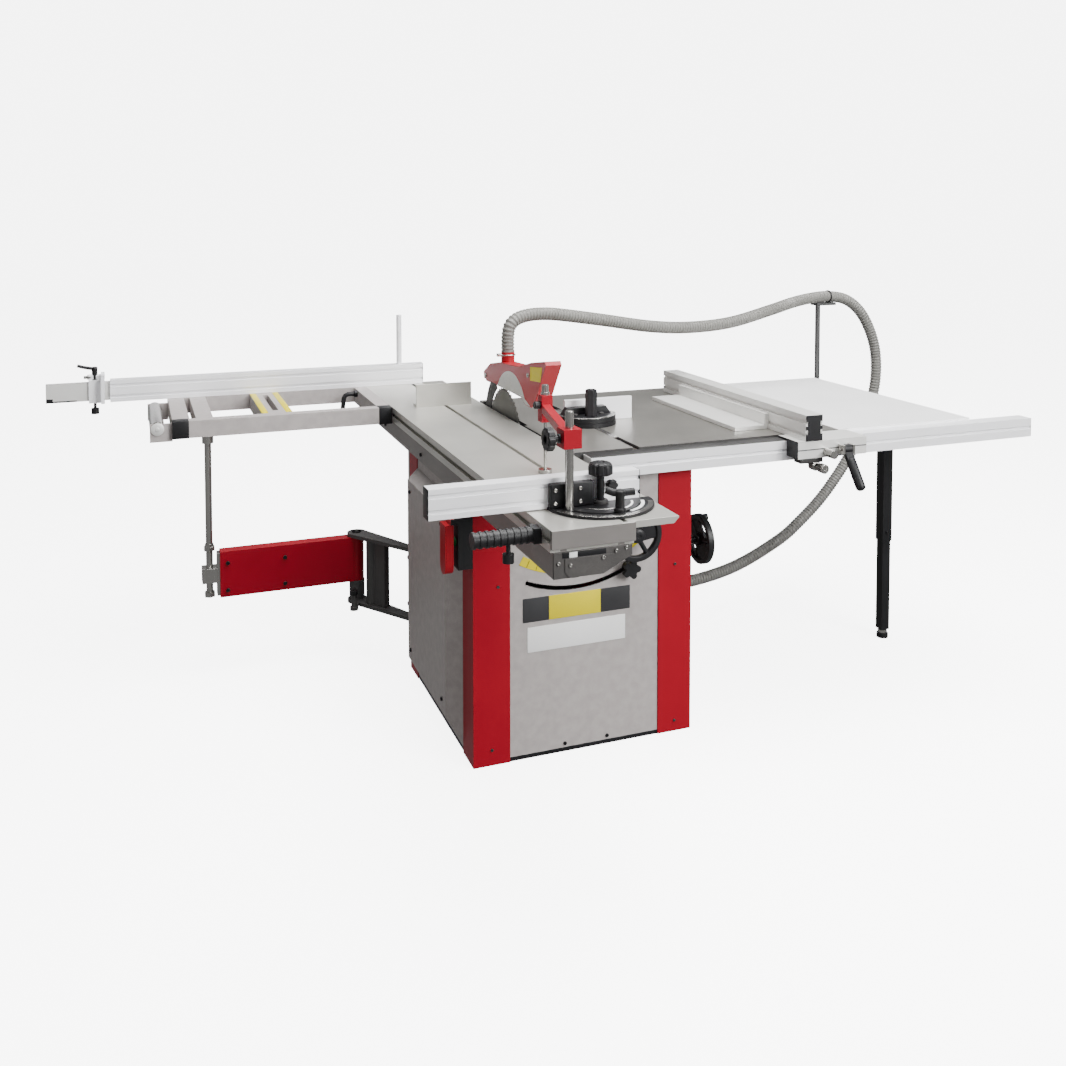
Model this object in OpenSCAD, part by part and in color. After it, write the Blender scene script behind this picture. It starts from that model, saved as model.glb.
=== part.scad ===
// Sliding table saw with an outrigger, a telescopic swing arm and a tilting saw unit
// Frame: X to the right, Y away from the operator, Z up, origin at the cabinet's centre on the floor

/* [Cabinet] */
// Width of the cabinet over the corner posts
cab_w = 670; // [600:1:740]
// Depth of the cabinet over the corner posts
cab_d = 712; // [680:1:760]
// Width of a corner post
post_w = 107; // [80:1:120]
// Depth of a corner post
post_d = 98; // [80:1:110]
// Sheet thickness of posts and panels
sheet_t = 3; // [2:0.5:5]
// Height of the panels' lower edge above the floor
panel_lift = 12; // [4:1:30]
// How far the side cover stands out of the panel
cover_out = 41; // [20:1:60]

/* [Tables] */
// Height of the table surface above the floor
table_h = 850; // [820:1:900]
// Depth of the cast tables' rim
cast_t = 45; // [36:1:60]
// Thickness of the cast tables' plate
plate_t = 16; // [10:1:20]
// Distance of the tables' front edge from the cabinet's centre
table_front = 340; // [320:1:350]
// Distance of the tables' back edge from the cabinet's centre
table_back = 530; // [510:1:560]
// Width of the main table
main_w = 417; // [390:1:440]
// Width of the cast side table
side_w = 477; // [400:1:520]
// Width of the sheet extension table
ext_w = 512; // [400:1:600]
// Depth of the extension table's skirt
ext_t = 28; // [20:1:40]

/* [Sliding table] */
// Length of the sliding table
slide_len = 1990; // [1600:1:2200]
// Width of the sliding table
slide_w = 312; // [300:1:330]
// Depth of the sliding table's box profile
slide_t = 50; // [40:1:56]
// Width of the sliding table's box profile
slide_body_w = 200; // [190:1:215]
// Depth of the fixed guide beam
beam_h = 58; // [40:1:70]
// Gap between the sliding table and the blade
slide_gap = 8; // [7:0.5:12]

/* [Rip fence] */
// Length of the front rail
rail_len = 1575; // [1300:1:1700]
// Height of the front rail
rail_h = 60; // [50:1:70]
// Depth of the front rail
rail_d = 55; // [40:1:70]
// Distance of the rip fence from the blade
rip_at = 694; // [300:1:760]
// Length of the rip fence
rip_len = 916; // [700:1:1000]
// Height of the rip fence
rip_h = 78; // [60:1:100]
// Width of the rip fence
rip_w = 58; // [40:1:70]

/* [Cross-cut fences] */
// Length of the front fence
front_fence_len = 516; // [420:1:560]
// Height of the front fence
front_fence_h = 70; // [50:1:74]
// Length of the rear fence
rear_fence_len = 1130; // [900:1:1200]
// Height of the rear fence
rear_fence_h = 78; // [60:1:90]
// Thickness of both fences
fence_d = 40; // [30:1:50]
// How far the rear fence is drawn out
fence_draw = 208; // [190:1:300]
// Height of the clamp column
column_h = 232; // [180:1:280]

/* [Outrigger] */
// Length of the outrigger beams
out_len = 671; // [500:1:760]
// Distance between the outrigger beams' outer faces
out_d = 488; // [400:1:520]
// Width of an outrigger tube
tube_w = 46; // [30:1:50]
// Height of an outrigger tube
tube_h = 55; // [40:1:60]
// Diameter of the outrigger roller
roller_d = 46; // [30:1:50]
// Length of the swing arm's outer tube
arm_len = 428; // [380:1:460]
// Height of the swing arm
arm_h = 151; // [120:1:170]
// Thickness of the swing arm
arm_t = 45; // [36:1:50]

/* [Saw unit] */
// Diameter of the saw blade
blade_d = 315; // [250:1:320]
// Thickness of the saw blade
blade_t = 3.2; // [2.4:0.1:4]
// Number of teeth
teeth = 48; // [24:4:60]
// Height of the blade above the table
blade_up = 90; // [60:1:96]
// Distance of the arbor behind the cabinet's centre
arbor_y = 248; // [244:1:252]
// Diameter of both handwheels
wheel_d = 150; // [110:1:156]
// Diameter of the motor
motor_d = 144; // [110:1:150]

/* [Suction hose] */
// Outside diameter of the hose
hose_d = 44; // [36:1:46]
// Bore of the hose
hose_bore = 36; // [24:1:38]
// Number of ribs along the hose
hose_ribs = 180; // [60:1:200]
// Bore of the dust outlet
outlet_bore = 100; // [80:1:110]

/* [Hidden] */
$fn = 48;

// Clearances and the overrun that every cut takes
over = 1;
run_gap = 0.5;
fit_gap = 0.05;
curve_gap = 0.3;
hose_gap = 1;

// Colours
red = [0.72, 0.05, 0.06];
grey = [0.72, 0.74, 0.75];
black = [0.06, 0.06, 0.07];
alu = [0.82, 0.83, 0.85];
steel = [0.6, 0.61, 0.63];
iron = [0.5, 0.51, 0.52];
green = [0.1, 0.5, 0.2];
blue_grey = [0.25, 0.3, 0.35];
hose_grey = [0.55, 0.57, 0.58];
white = [0.92, 0.92, 0.92];

// Main places
cab_x = cab_w / 2;
cab_y = cab_d / 2;
blade_x = -36;
main_x0 = blade_x;
main_x1 = main_x0 + main_w;
side_x1 = main_x1 + side_w;
ext_x1 = side_x1 + ext_w;
slide_x1 = blade_x - slide_gap;
slide_x0 = slide_x1 - slide_w;
slide_y = slide_len / 2;
beam_top = table_h - slide_t - run_gap;
beam_z0 = beam_top - beam_h;
rim_z0 = table_h - cast_t;
plate_z0 = table_h - plate_t;
slot_x = -176;

// Small shapes
module block(lo, hi) { translate(lo) cube(hi - lo); }
module rod_x(r, a, b, y, z) { translate([a, y, z]) rotate([0, 90, 0]) cylinder(r = r, h = b - a); }
module rod_y(r, a, b, x, z) { translate([x, a, z]) rotate([-90, 0, 0]) cylinder(r = r, h = b - a); }
module rod_z(r, a, b, x, y) { translate([x, y, a]) cylinder(r = r, h = b - a); }
// A flat outline in X and Z, drawn out along Y from a to b
module along_y(a, b) { translate([0, b, 0]) rotate([90, 0, 0]) linear_extrude(b - a) children(); }
// A flat outline in Y and Z, drawn out along X from a to b
module along_x(a, b) { translate([a, 0, 0]) rotate([90, 0, 90]) linear_extrude(b - a) children(); }
// A wedge of a circle, angles counted from straight down, positive to the right
module wedge(r, a0, a1) {
    reach = r / cos((a1 - a0) / 4);
    steps = [for (i = [0:4]) a0 + (a1 - a0) * i / 4];
    polygon(concat([[0, 0]], [for (a = steps) reach * [sin(a), -cos(a)]]));
}
// A ring's arc about the tilt axis, with square ends
module tilt_arc(r0, r1, a0, a1) {
    translate([blade_x, table_h]) intersection() {
        difference() {
            circle(r1);
            circle(r0);
        }
        wedge(r1 + over, a0, a1);
    }
}
// An arc slot about the tilt axis, with round ends
module tilt_slot(r, half, a0, a1) {
    tilt_arc(r - half, r + half, a0, a1);
    for (a = [a0, a1]) translate([blade_x + r * sin(a), table_h - r * cos(a)]) circle(half - curve_gap);
}

// Tilting unit: places about the tilt axis
tilt_range = 45;
lock_r = 379;
lock_angle = 26;
lock_x = blade_x + lock_r * sin(lock_angle);
lock_z = table_h - lock_r * cos(lock_angle);
lock_stud_r = 8;
lock_slot_half = 11;
shaft_side = 160;
shaft_drop = 227;
shaft_x = blade_x + shaft_side;
shaft_z = table_h - shaft_drop;
shaft_r = 10;
shaft_slot_half = 14;
slot_spare_deg = 2;
shaft_rad = norm([shaft_x - blade_x, table_h - shaft_z]);
shaft_angle = atan2(shaft_x - blade_x, table_h - shaft_z);

// Hose route over the tables, heights counted from the table: from the guard's spigot over the support hook
hose_over = [[-36, 220, 215], [-36, 220, 260], [-30, 221, 295], [-8, 226, 318], [35, 236, 330],
    [95, 249, 332], [165, 265, 325], [330, 301, 298], [550, 349, 260], [730, 389, 245], [925, 432, 251],
    [1125, 477, 285], [1240, 502, 308], [1340, 524, 321], [1440, 545, 324], [1530, 550, 308],
    [1600, 550, 258], [1650, 550, 180], [1680, 550, 90], [1685, 550, -10]];
// Hose route under the tables, heights counted from the floor: down to the dust hood's inlet
hose_under = [[1668, 550, 745], [1625, 548, 630], [1570, 544, 540], [1500, 538, 450], [1405, 528, 355],
    [1300, 519, 275], [1200, 510, 215], [1010, 492, 145], [830, 470, 118], [650, 450, 118], [480, 436, 136],
    [360, 431, 148], [260, 430, 150], [200, 430, 150]];
hose_route = concat([for (p = hose_over) p + [0, 0, table_h]], hose_under);
hose_end = hose_route[len(hose_route) - 1];
hook_point = 14;

// Cabinet
panel_in = sheet_t;
panel_lap = 15;
post_foot = 60;
panel_top = beam_z0 - sheet_t;
panel_x = cab_x - post_w + panel_lap;
panel_y = cab_y - post_d + panel_lap;
rear_land = 12;
hood_x0 = -300;
hood_z0 = 90;
hood_back = 165;
hood_rise = 18;
hood_y1 = cab_y + hood_back;
hood_z1 = beam_z0 + hood_rise;
inlet_len = 40;
inlet_x1 = hose_end[0] - hose_gap;
inlet_y = hose_end[1];
inlet_z = hose_end[2];
hood_x1 = hose_end[0] - inlet_len;
outlet_x = -70;
outlet_z = 240;
outlet_len = 60;
outlet_wall = 3;
tilt_shaft_back = 110;
tilt_shaft_y = tilt_shaft_back - cab_y;
tilt_shaft_z = 526;

module base_pan() {
    color(black) {
        block([-cab_x + post_w, -cab_y + panel_in, 0], [cab_x - post_w, cab_y - panel_in, panel_lift]);
        block([-cab_x + panel_in, -cab_y + post_d, 0], [-cab_x + post_w, cab_y - post_d, panel_lift]);
        block([cab_x - post_w, -cab_y + post_d, 0], [cab_x - panel_in, cab_y - post_d, panel_lift]);
    }
}

// One folded corner post: two faces, a foot and a head, with its outer corner on the side given by the signs
module post(side_x, side_y, h) {
    mirror([side_x < 0 ? 1 : 0, 0, 0]) mirror([0, side_y < 0 ? 1 : 0, 0]) {
        block([cab_x - sheet_t, cab_y - post_d, 0], [cab_x, cab_y, h]);
        block([cab_x - post_w, cab_y - sheet_t, 0], [cab_x, cab_y, h]);
        for (z = [0, h - sheet_t])
            block([cab_x - post_w, cab_y - post_foot, z], [cab_x, cab_y, z + sheet_t]);
    }
}
module corner_posts() {
    color(red) {
        for (side_y = [-1, 1]) post(-1, side_y, beam_z0);
        post(1, 1, rim_z0);
        difference() {
            post(1, -1, rim_z0);
            block([0, -cab_y - over, rail_z0 - run_gap], [cab_w, -table_front + run_gap, rim_z0 + over]);
        }
    }
}

module front_panel() {
    color(grey) along_y(-cab_y + panel_in, -cab_y + panel_in + sheet_t) difference() {
        union() {
            translate([-panel_x, panel_lift]) square([2 * panel_x, panel_top - panel_lift]);
            translate([beam_x1 + panel_lap, panel_top - over])
                square([panel_x - beam_x1 - panel_lap, rail_z0 - run_gap - panel_top + over]);
        }
        tilt_slot(lock_r, lock_slot_half, lock_angle - tilt_range - slot_spare_deg,
            lock_angle + slot_spare_deg);
        tilt_slot(shaft_rad, shaft_slot_half, shaft_angle - tilt_range - slot_spare_deg,
            shaft_angle + slot_spare_deg);
    }
}

module side_panels() {
    color(grey) {
        block([-cab_x + panel_in, -panel_y, panel_lift], [-cab_x + panel_in + sheet_t, panel_y, panel_top]);
        difference() {
            block([cab_x - panel_in - sheet_t, -panel_y, panel_lift], [cab_x - panel_in, panel_y, panel_top]);
            rod_x(shaft_r + fit_gap, cab_x - panel_in - sheet_t - over, cab_x - panel_in + over, tilt_shaft_y,
                tilt_shaft_z);
        }
    }
}

module rear_panel() {
    color(grey) along_y(cab_y - panel_in - sheet_t, cab_y - panel_in) difference() {
        translate([-panel_x, panel_lift]) square([2 * panel_x, panel_top - panel_lift]);
        translate([-panel_x - over, hood_z0 + sheet_t])
            square([panel_x + over + hood_x1 - rear_land, panel_top]);
    }
}

// Side cover: a shallow tray with bevelled edges
cover_y = cab_y - post_d;
cover_z0 = 22;
cover_z1 = 695;
cover_in = 40;
cover_low = 73;
cover_high = 23;
module cover_form(inset) {
    hull() {
        block([-cab_x + panel_in - over, -cover_y + inset, cover_z0 + inset],
            [-cab_x + panel_in, cover_y - inset, cover_z1 - inset]);
        block([-cab_x - cover_out + inset, -cover_y + cover_in + inset, cover_z0 + cover_low],
            [-cab_x - cover_out + inset + over, cover_y - cover_in - inset, cover_z1 - cover_high]);
    }
}
module left_cover() {
    color(grey) difference() {
        cover_form(0);
        translate([over, 0, 0]) cover_form(sheet_t);
    }
}

module dust_hood() {
    hood_y0 = cab_y - panel_in;
    color(grey) {
        difference() {
            block([hood_x0, hood_y0, hood_z0], [hood_x1, hood_y1, hood_z1]);
            block([hood_x0 + sheet_t, hood_y0 - over, hood_z0 + sheet_t],
                [hood_x1 - sheet_t, hood_y1 - sheet_t, hood_z1 + over]);
            block([hood_x0 - over, hood_y0 - over, panel_top],
                [hood_x1 + over, cab_y + run_gap, hood_z1 + over]);
            block([hood_x0 - over, hood_y0 - over, beam_z0 - run_gap],
                [beam_x1 + run_gap, hood_y1 + over, hood_z1 + over]);
            block([hood_x0 - over, hood_y0 - over, hood_z0 - over], [-cab_x + post_w, cab_y, hood_z1 + over]);
            rod_y(outlet_bore / 2, hood_y1 - sheet_t - over, hood_y1 + over, outlet_x, outlet_z);
            rod_x(hose_bore / 2, hood_x1 - sheet_t - over, hood_x1 + over, inlet_y, inlet_z);
        }
        difference() {
            rod_y(outlet_bore / 2 + outlet_wall, hood_y1, hood_y1 + outlet_len, outlet_x, outlet_z);
            rod_y(outlet_bore / 2, hood_y1 - over, hood_y1 + outlet_len + over, outlet_x, outlet_z);
        }
        difference() {
            rod_x(hose_d / 2, hood_x1, inlet_x1, inlet_y, inlet_z);
            rod_x(hose_bore / 2, hood_x1 - over, inlet_x1 + over, inlet_y, inlet_z);
        }
    }
}

// Tables
mitre_at = 199;
mitre_x = main_x0 + mitre_at;
mitre_w = 20;
mitre_depth = 10;
mitre_foot = 26;
mitre_foot_h = 4;
main_bearer = 110;
rim_w = 20;
throat_front = 188;
throat_rear = 257;
throat_y0 = arbor_y - throat_front;
throat_y1 = arbor_y + throat_rear;
throat_w = 12;
module main_table() {
    color(iron) difference() {
        block([main_x0, -table_front, rim_z0], [main_x1, table_back, table_h]);
        block([main_x0 - over, -table_front + rim_w, rim_z0 - over],
            [cab_x - main_bearer, table_back - rim_w, plate_z0]);
        block([cab_x, -cab_y + post_d + rim_w, rim_z0 - over],
            [main_x1 - rim_w, cab_y - post_d - rim_w, plate_z0]);
        block([main_x0 - over, throat_y0, rim_z0 - over], [main_x0 + throat_w, throat_y1, table_h + over]);
        block([mitre_x - mitre_w / 2, -table_front - over, table_h - mitre_depth],
            [mitre_x + mitre_w / 2, table_back + over, table_h + over]);
        block([mitre_x - mitre_foot / 2, -table_front - over, table_h - mitre_depth],
            [mitre_x + mitre_foot / 2, table_back + over, table_h - mitre_depth + mitre_foot_h]);
    }
}

module side_table() {
    color(iron) difference() {
        block([main_x1, -table_front, rim_z0], [side_x1, table_back, table_h]);
        block([main_x1 + rim_w, -table_front + rim_w, rim_z0 - over],
            [side_x1 - rim_w, table_back - rim_w, plate_z0]);
    }
}

module extension_table() {
    color(white) difference() {
        block([side_x1, -table_front, table_h - ext_t], [ext_x1, table_back, table_h]);
        block([side_x1 + sheet_t, -table_front + sheet_t, table_h - ext_t - over],
            [ext_x1 - sheet_t, table_back - sheet_t, table_h - sheet_t]);
    }
}

// Front rail, seen end on in Y and Z, with a V groove in its face
rail_x0 = 0;
rail_drop = 6;
rail_z1 = table_h - rail_drop;
rail_z0 = rail_z1 - rail_h;
rail_y1 = -table_front;
rail_y0 = rail_y1 - rail_d;
rail_wall = 5;
rail_groove = 12;
module front_rail() {
    color(alu) along_x(rail_x0, rail_x0 + rail_len) difference() {
        translate([rail_y0, rail_z0]) square([rail_d, rail_h]);
        translate([rail_y0 + rail_wall + rail_groove, rail_z0 + rail_wall])
            square([rail_d - rail_groove - 2 * rail_wall, rail_h - 2 * rail_wall]);
        polygon([[rail_y0 - over, (rail_z0 + rail_z1) / 2 + rail_groove / 2],
            [rail_y0 - over, (rail_z0 + rail_z1) / 2 - rail_groove / 2],
            [rail_y0 + rail_groove / 2, (rail_z0 + rail_z1) / 2]]);
    }
}

// Leg under the extension table: a tube that slides in a wider one, with a levelling foot
leg_in = 65;
leg_x = ext_x1 - leg_in;
leg_y = 2;
leg_w = 39;
leg_wall = 2.5;
leg_step_z = 352;
leg_inner_w = leg_w - 2 * leg_wall - 2 * run_gap;
leg_top_in = 480;
foot_h = 31;
foot_r = 20;
foot_stem_r = 8;
module square_tube(x, y, w, wall, z0, z1) {
    difference() {
        block([x - w / 2, y - w / 2, z0], [x + w / 2, y + w / 2, z1]);
        block([x - w / 2 + wall, y - w / 2 + wall, z0 - over],
            [x + w / 2 - wall, y + w / 2 - wall, z1 + over]);
    }
}
module leg_upper() {
    color(black) square_tube(leg_x, leg_y, leg_w, leg_wall, leg_step_z, table_h - sheet_t);
}
module leg_lower() {
    color(black) {
        square_tube(leg_x, leg_y, leg_inner_w, leg_wall, foot_h, leg_top_in);
        block([leg_x - leg_inner_w / 2, leg_y - leg_inner_w / 2, foot_h],
            [leg_x + leg_inner_w / 2, leg_y + leg_inner_w / 2, foot_h + leg_wall]);
        rod_z(foot_r, 0, foot_h / 2, leg_x, leg_y);
        rod_z(foot_stem_r, 0, foot_h + over, leg_x, leg_y);
    }
}

// Sliding table and its guide beam
lip_t = 16;
lip_edge = 4;
wall = 6;
t_slot = 12;
t_foot = 24;
t_neck = 6;
t_deep = 14;
rib_w = 14;
rib_h = 8;
rib_in = 24;
slide_body_x1 = slide_x0 + slide_body_w;
beam_x0 = slide_x0 + wall;
beam_x1 = slide_body_x1 - wall;
beam_y = slide_y;
beam_cut_w = 70;
beam_cut_h = beam_h * 0.6;
beam_cut_in = 2;
side_slot_z = table_h - slide_t / 2;
core_share = 0.5;
module sliding_table() {
    core_x1 = slide_x0 + slide_body_w * core_share;
    color(alu) along_y(-slide_y, slide_y) difference() {
        polygon([[slide_x0, table_h], [slide_x1, table_h], [slide_x1, table_h - lip_edge],
            [slide_x1 - lip_t + lip_edge, table_h - lip_t], [slide_body_x1, table_h - lip_t],
            [slide_body_x1, table_h - slide_t], [slide_x0, table_h - slide_t]]);
        translate([slot_x - t_slot / 2, table_h - t_deep]) square([t_slot, t_deep + over]);
        translate([slot_x - t_foot / 2, table_h - t_deep]) square([t_foot, t_deep - t_neck]);
        translate([slide_x0 - over, side_slot_z - t_slot / 2]) square([t_neck + over, t_slot]);
        translate([slide_x0 + t_neck - over, side_slot_z - t_foot / 2])
            square([t_deep - t_neck + over, t_foot]);
        translate([slide_x0 + t_deep + wall, table_h - slide_t + rib_h + wall])
            square([core_x1 - slide_x0 - t_deep - wall, slide_t - rib_h - 2 * wall]);
        for (x = [slide_x0 + rib_in, slide_body_x1 - rib_in - rib_w])
            translate([x - run_gap, table_h - slide_t - over])
                square([rib_w + 2 * run_gap, rib_h + over + run_gap]);
    }
}
module guide_beam() {
    color(steel) along_y(-beam_y, beam_y) {
        difference() {
            polygon([[beam_x0, beam_z0], [beam_x1 - beam_cut_w, beam_z0], [beam_x1, beam_z0 + beam_cut_h],
                [beam_x1, beam_top], [beam_x0, beam_top]]);
            polygon([[beam_x0 + wall, beam_z0 + wall], [beam_x1 - beam_cut_w - beam_cut_in, beam_z0 + wall],
                [beam_x1 - wall, beam_z0 + beam_cut_h + 2 * beam_cut_in], [beam_x1 - wall, beam_top - wall],
                [beam_x0 + wall, beam_top - wall]]);
        }
        for (x = [slide_x0 + rib_in, slide_body_x1 - rib_in - rib_w])
            translate([x, beam_top - over]) square([rib_w, rib_h + over]);
    }
}
end_plate_t = 10;
module table_end_plates() {
    color(grey) for (y = [-slide_y - end_plate_t, slide_y])
        block([slide_x0, y, table_h - slide_t + rib_h + run_gap], [slide_body_x1, y + end_plate_t, table_h]);
}

// Push handle on the table's left side: a clamp boss, a bar and a ribbed grip
handle_in = 70;
handle_drop = 27;
handle_y = handle_in - slide_y;
handle_z = table_h - handle_drop;
handle_reach = 156;
grip_r = 17;
grip_len = 140;
grip_rings = 9;
ring_r = 19;
ring_w = 6;
handle_boss = 36;
knob_r = 13;
knob_h = 20;
knob_stem_r = 5;
module push_handle() {
    x1 = slide_x0;
    x0 = x1 - handle_reach;
    color(black) {
        block([x1 - handle_boss / 2, handle_y - handle_boss / 2, handle_z - grip_r],
            [x1, handle_y + handle_boss / 2, handle_z + grip_r]);
        rod_x(grip_r, x0, x1 - handle_boss / 2 + over, handle_y, handle_z);
        for (i = [0:grip_rings - 1])
            rod_x(ring_r, x0 + i * grip_len / grip_rings, x0 + i * grip_len / grip_rings + ring_w,
                handle_y, handle_z);
        rod_z(knob_stem_r, handle_z - grip_r - knob_h, handle_z, x1 - handle_boss * 2, handle_y);
        rod_z(knob_r, handle_z - grip_r - 2 * knob_h, handle_z - grip_r - knob_h, x1 - handle_boss * 2,
            handle_y);
    }
}

// Stop plate that stands across the sliding table
stop_ahead = 32;
stop_in = 40;
stop_w = 196;
stop_x1 = slide_x1 - stop_in;
stop_x0 = stop_x1 - stop_w;
stop_h = 78;
stop_t = 8;
stop_foot_d = 40;
stop_nut_r = 10;
module stop_plate() {
    stop_y = out_y0 - stop_ahead;
    color(alu) {
        block([stop_x0, stop_y - stop_t / 2, table_h], [stop_x1, stop_y + stop_t / 2, table_h + stop_h]);
        block([stop_x0, stop_y, table_h], [stop_x1, stop_y + stop_foot_d, table_h + stop_t]);
        rod_z(stop_nut_r, table_h, table_h + 2 * stop_t, slot_x, stop_y + stop_foot_d / 2);
    }
}

// Outrigger frame
out_past = 5;
out_y1 = slide_y + out_past;
out_y0 = out_y1 - out_d;
out_x1 = slide_x0 - tube_w;
out_x0 = out_x1 - out_len;
out_z0 = table_h - tube_h;
tube_wall = 4;
out_bar_w = 54;
out_bar_gap = 20;
slotted_at_share = 0.425;
slotted_w = 100;
slot_w = 20;
module tube_along_x(x0, x1, y0, w, z0, h) {
    along_x(x0, x1) difference() {
        translate([y0, z0]) square([w, h]);
        translate([y0 + tube_wall, z0 + tube_wall]) square([w - 2 * tube_wall, h - 2 * tube_wall]);
    }
}
module tube_along_y(y0, y1, x0, w, z0, h) {
    along_y(y0, y1) difference() {
        translate([x0, z0]) square([w, h]);
        translate([x0 + tube_wall, z0 + tube_wall]) square([w - 2 * tube_wall, h - 2 * tube_wall]);
    }
}
module outrigger_beams() {
    color(grey) {
        tube_along_x(out_x0, out_x1, out_y0, tube_w, out_z0, tube_h);
        tube_along_x(out_x0, out_x1, out_y1 - tube_w, tube_w, out_z0, tube_h);
        tube_along_y(out_y0, out_y1, out_x1, tube_w, out_z0, tube_h);
        rod_z(lever_stud_r, lever_z - lever_hub_h, lever_z + over, lever_x, lever_y);
    }
}
roller_x = out_x0 - roller_d / 2 - tube_w / 2;
roller_z = table_h - roller_d / 2;
roller_y0 = out_y0 + tube_w / 2;
roller_y1 = out_y1 - 2 * tube_w;
axle_r = 6;
cheek_t = 6;
bracket_h = 42;
module outrigger_bars() {
    inner0 = out_y0 + tube_w;
    inner1 = out_y1 - tube_w;
    slotted_x = out_x0 + out_len * slotted_at_share;
    color(grey) {
        for (x = [out_x0, out_x0 + out_bar_w + out_bar_gap])
            tube_along_y(inner0, inner1, x, out_bar_w, out_z0, tube_h);
        difference() {
            block([slotted_x, inner0, out_z0], [slotted_x + slotted_w, inner1, table_h]);
            block([slotted_x + slotted_w / 2 - slot_w / 2, inner0 + tube_w, out_z0 - over],
                [slotted_x + slotted_w / 2 + slot_w / 2, inner1 - tube_w, table_h + over]);
        }
        for (y = [roller_y0 - cheek_t - run_gap, roller_y1 + run_gap]) difference() {
            block([roller_x - roller_d / 2, y, roller_z - bracket_h],
                [out_x0, y + cheek_t, table_h - cheek_t]);
            rod_y(axle_r + fit_gap, y - over, y + cheek_t + over, roller_x, roller_z);
        }
    }
}
module outrigger_roller() {
    color(grey) {
        rod_y(roller_d / 2, roller_y0, roller_y1, roller_x, roller_z);
        rod_y(axle_r, roller_y0 - cheek_t - run_gap, roller_y1 + cheek_t + run_gap, roller_x, roller_z);
    }
}

// Swing arm: bracket on the rear left post, a tube that turns on its pin, and an inner arm with the rod seat
arm_out = 145;
arm_x = -cab_x - arm_out;
rod_collar_r = 18;
rod_collar_h = 24;
arm_y = out_y0 + rod_collar_r;
arm_z0 = 261;
arm_z1 = arm_z0 + arm_h;
pin_r = 14;
pin_head = 4;
barrel_r = 24;
arm_boss_r = 26;
arm_plate_t = 12;
arm_plate_w = 64;
arm_low_drop = 66;
arm_low_z = arm_z0 - arm_low_drop - arm_plate_t;
arm_top_z = arm_z1 + run_gap;
arm_post_at = 80;
arm_post_r = 22;
arm_web_to = 150;
arm_web_t = 22;
latch_at = [-25, -78];
latch_r = 14;
latch_knob_r = 10;
latch_knob_h = 50;
post_pad_in = 56;
post_pad_y = cab_y - post_pad_in;
post_pad_t = 10;
pad_half = 42;
arm_pin = [arm_x, arm_y];
arm_way = unit([-cab_x - post_pad_t, post_pad_y] - arm_pin);
arm_wall = 5;
rod_r = 11;
rod_in = 108;
rod_x_at = out_x0 + rod_in;
rod_seat_half = 24;
arm_root = 25;
// The bracket: two plates from the post's pad to the pin, a round post with a web between them, and a latch
module bracket_plate() {
    pad_x = -cab_x - post_pad_t + over;
    side = [-arm_way[1], arm_way[0]] * arm_plate_w / 2;
    translate(arm_pin) circle(arm_plate_w / 2);
    polygon([arm_pin + side, [pad_x, post_pad_y + arm_plate_w / 2], [pad_x, post_pad_y - arm_plate_w / 2],
        arm_pin - side]);
}
module arm_bracket() {
    web_side = [-arm_way[1], arm_way[0]] * arm_web_t / 2;
    post = arm_pin + arm_way * arm_post_at;
    web_end = arm_pin + arm_way * arm_web_to;
    latch = arm_pin + latch_at;
    latch_side = unit([-latch_at[1], latch_at[0]]) * latch_knob_r;
    color(black) {
        translate([0, 0, arm_top_z]) linear_extrude(arm_plate_t) bracket_plate();
        translate([0, 0, arm_low_z]) linear_extrude(arm_plate_t) {
            bracket_plate();
            translate(latch) circle(latch_r);
            polygon([arm_pin + latch_side, latch + latch_side, latch - latch_side, arm_pin - latch_side]);
        }
        rod_z(pin_r, arm_low_z - pin_head, arm_top_z + arm_plate_t + pin_head, arm_x, arm_y);
        rod_z(arm_boss_r, arm_low_z + over, arm_z0 - run_gap, arm_x, arm_y);
        rod_z(arm_post_r, arm_low_z + over, arm_top_z + over, post[0], post[1]);
        translate([0, 0, arm_low_z + over]) linear_extrude(arm_top_z - arm_low_z)
            polygon([post + web_side, web_end + web_side, web_end - web_side, post - web_side]);
        rod_z(latch_knob_r, arm_low_z + over, arm_low_z + arm_plate_t + latch_knob_h, latch[0], latch[1]);
        block([-cab_x - post_pad_t, post_pad_y - pad_half, arm_low_z],
            [-cab_x, post_pad_y + pad_half, arm_top_z + arm_plate_t]);
    }
}
module swing_arm() {
    x1 = arm_x - arm_root;
    x0 = x1 - arm_len;
    color(red) difference() {
        union() {
            block([x0, arm_y - arm_t / 2, arm_z0], [arm_x, arm_y + arm_t / 2, arm_z1]);
            rod_z(barrel_r, arm_z0, arm_z1, arm_x, arm_y);
        }
        rod_z(pin_r + fit_gap, arm_z0 - over, arm_z1 + over, arm_x, arm_y);
        block([x0 - over, arm_y - arm_t / 2 + arm_wall, arm_z0 + arm_wall],
            [arm_x - barrel_r, arm_y + arm_t / 2 - arm_wall, arm_z1 - arm_wall]);
    }
}
module arm_extension() {
    x0 = rod_x_at + rod_seat_half;
    in_t = arm_t - 2 * arm_wall - 2 * run_gap;
    color(steel) {
        block([x0 - over, arm_y - in_t / 2, arm_z0 + arm_wall + run_gap],
            [arm_x - barrel_r - run_gap, arm_y + in_t / 2, arm_z1 - arm_wall - run_gap]);
        block([rod_x_at - rod_seat_half, arm_y - rod_seat_half, arm_z0 + arm_h / 2 - rod_seat_half],
            [x0, arm_y + rod_seat_half, arm_z0 + arm_h / 2 + rod_seat_half]);
        rod_z(rod_r, arm_z0, arm_z1, rod_x_at, arm_y);
    }
}
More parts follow.
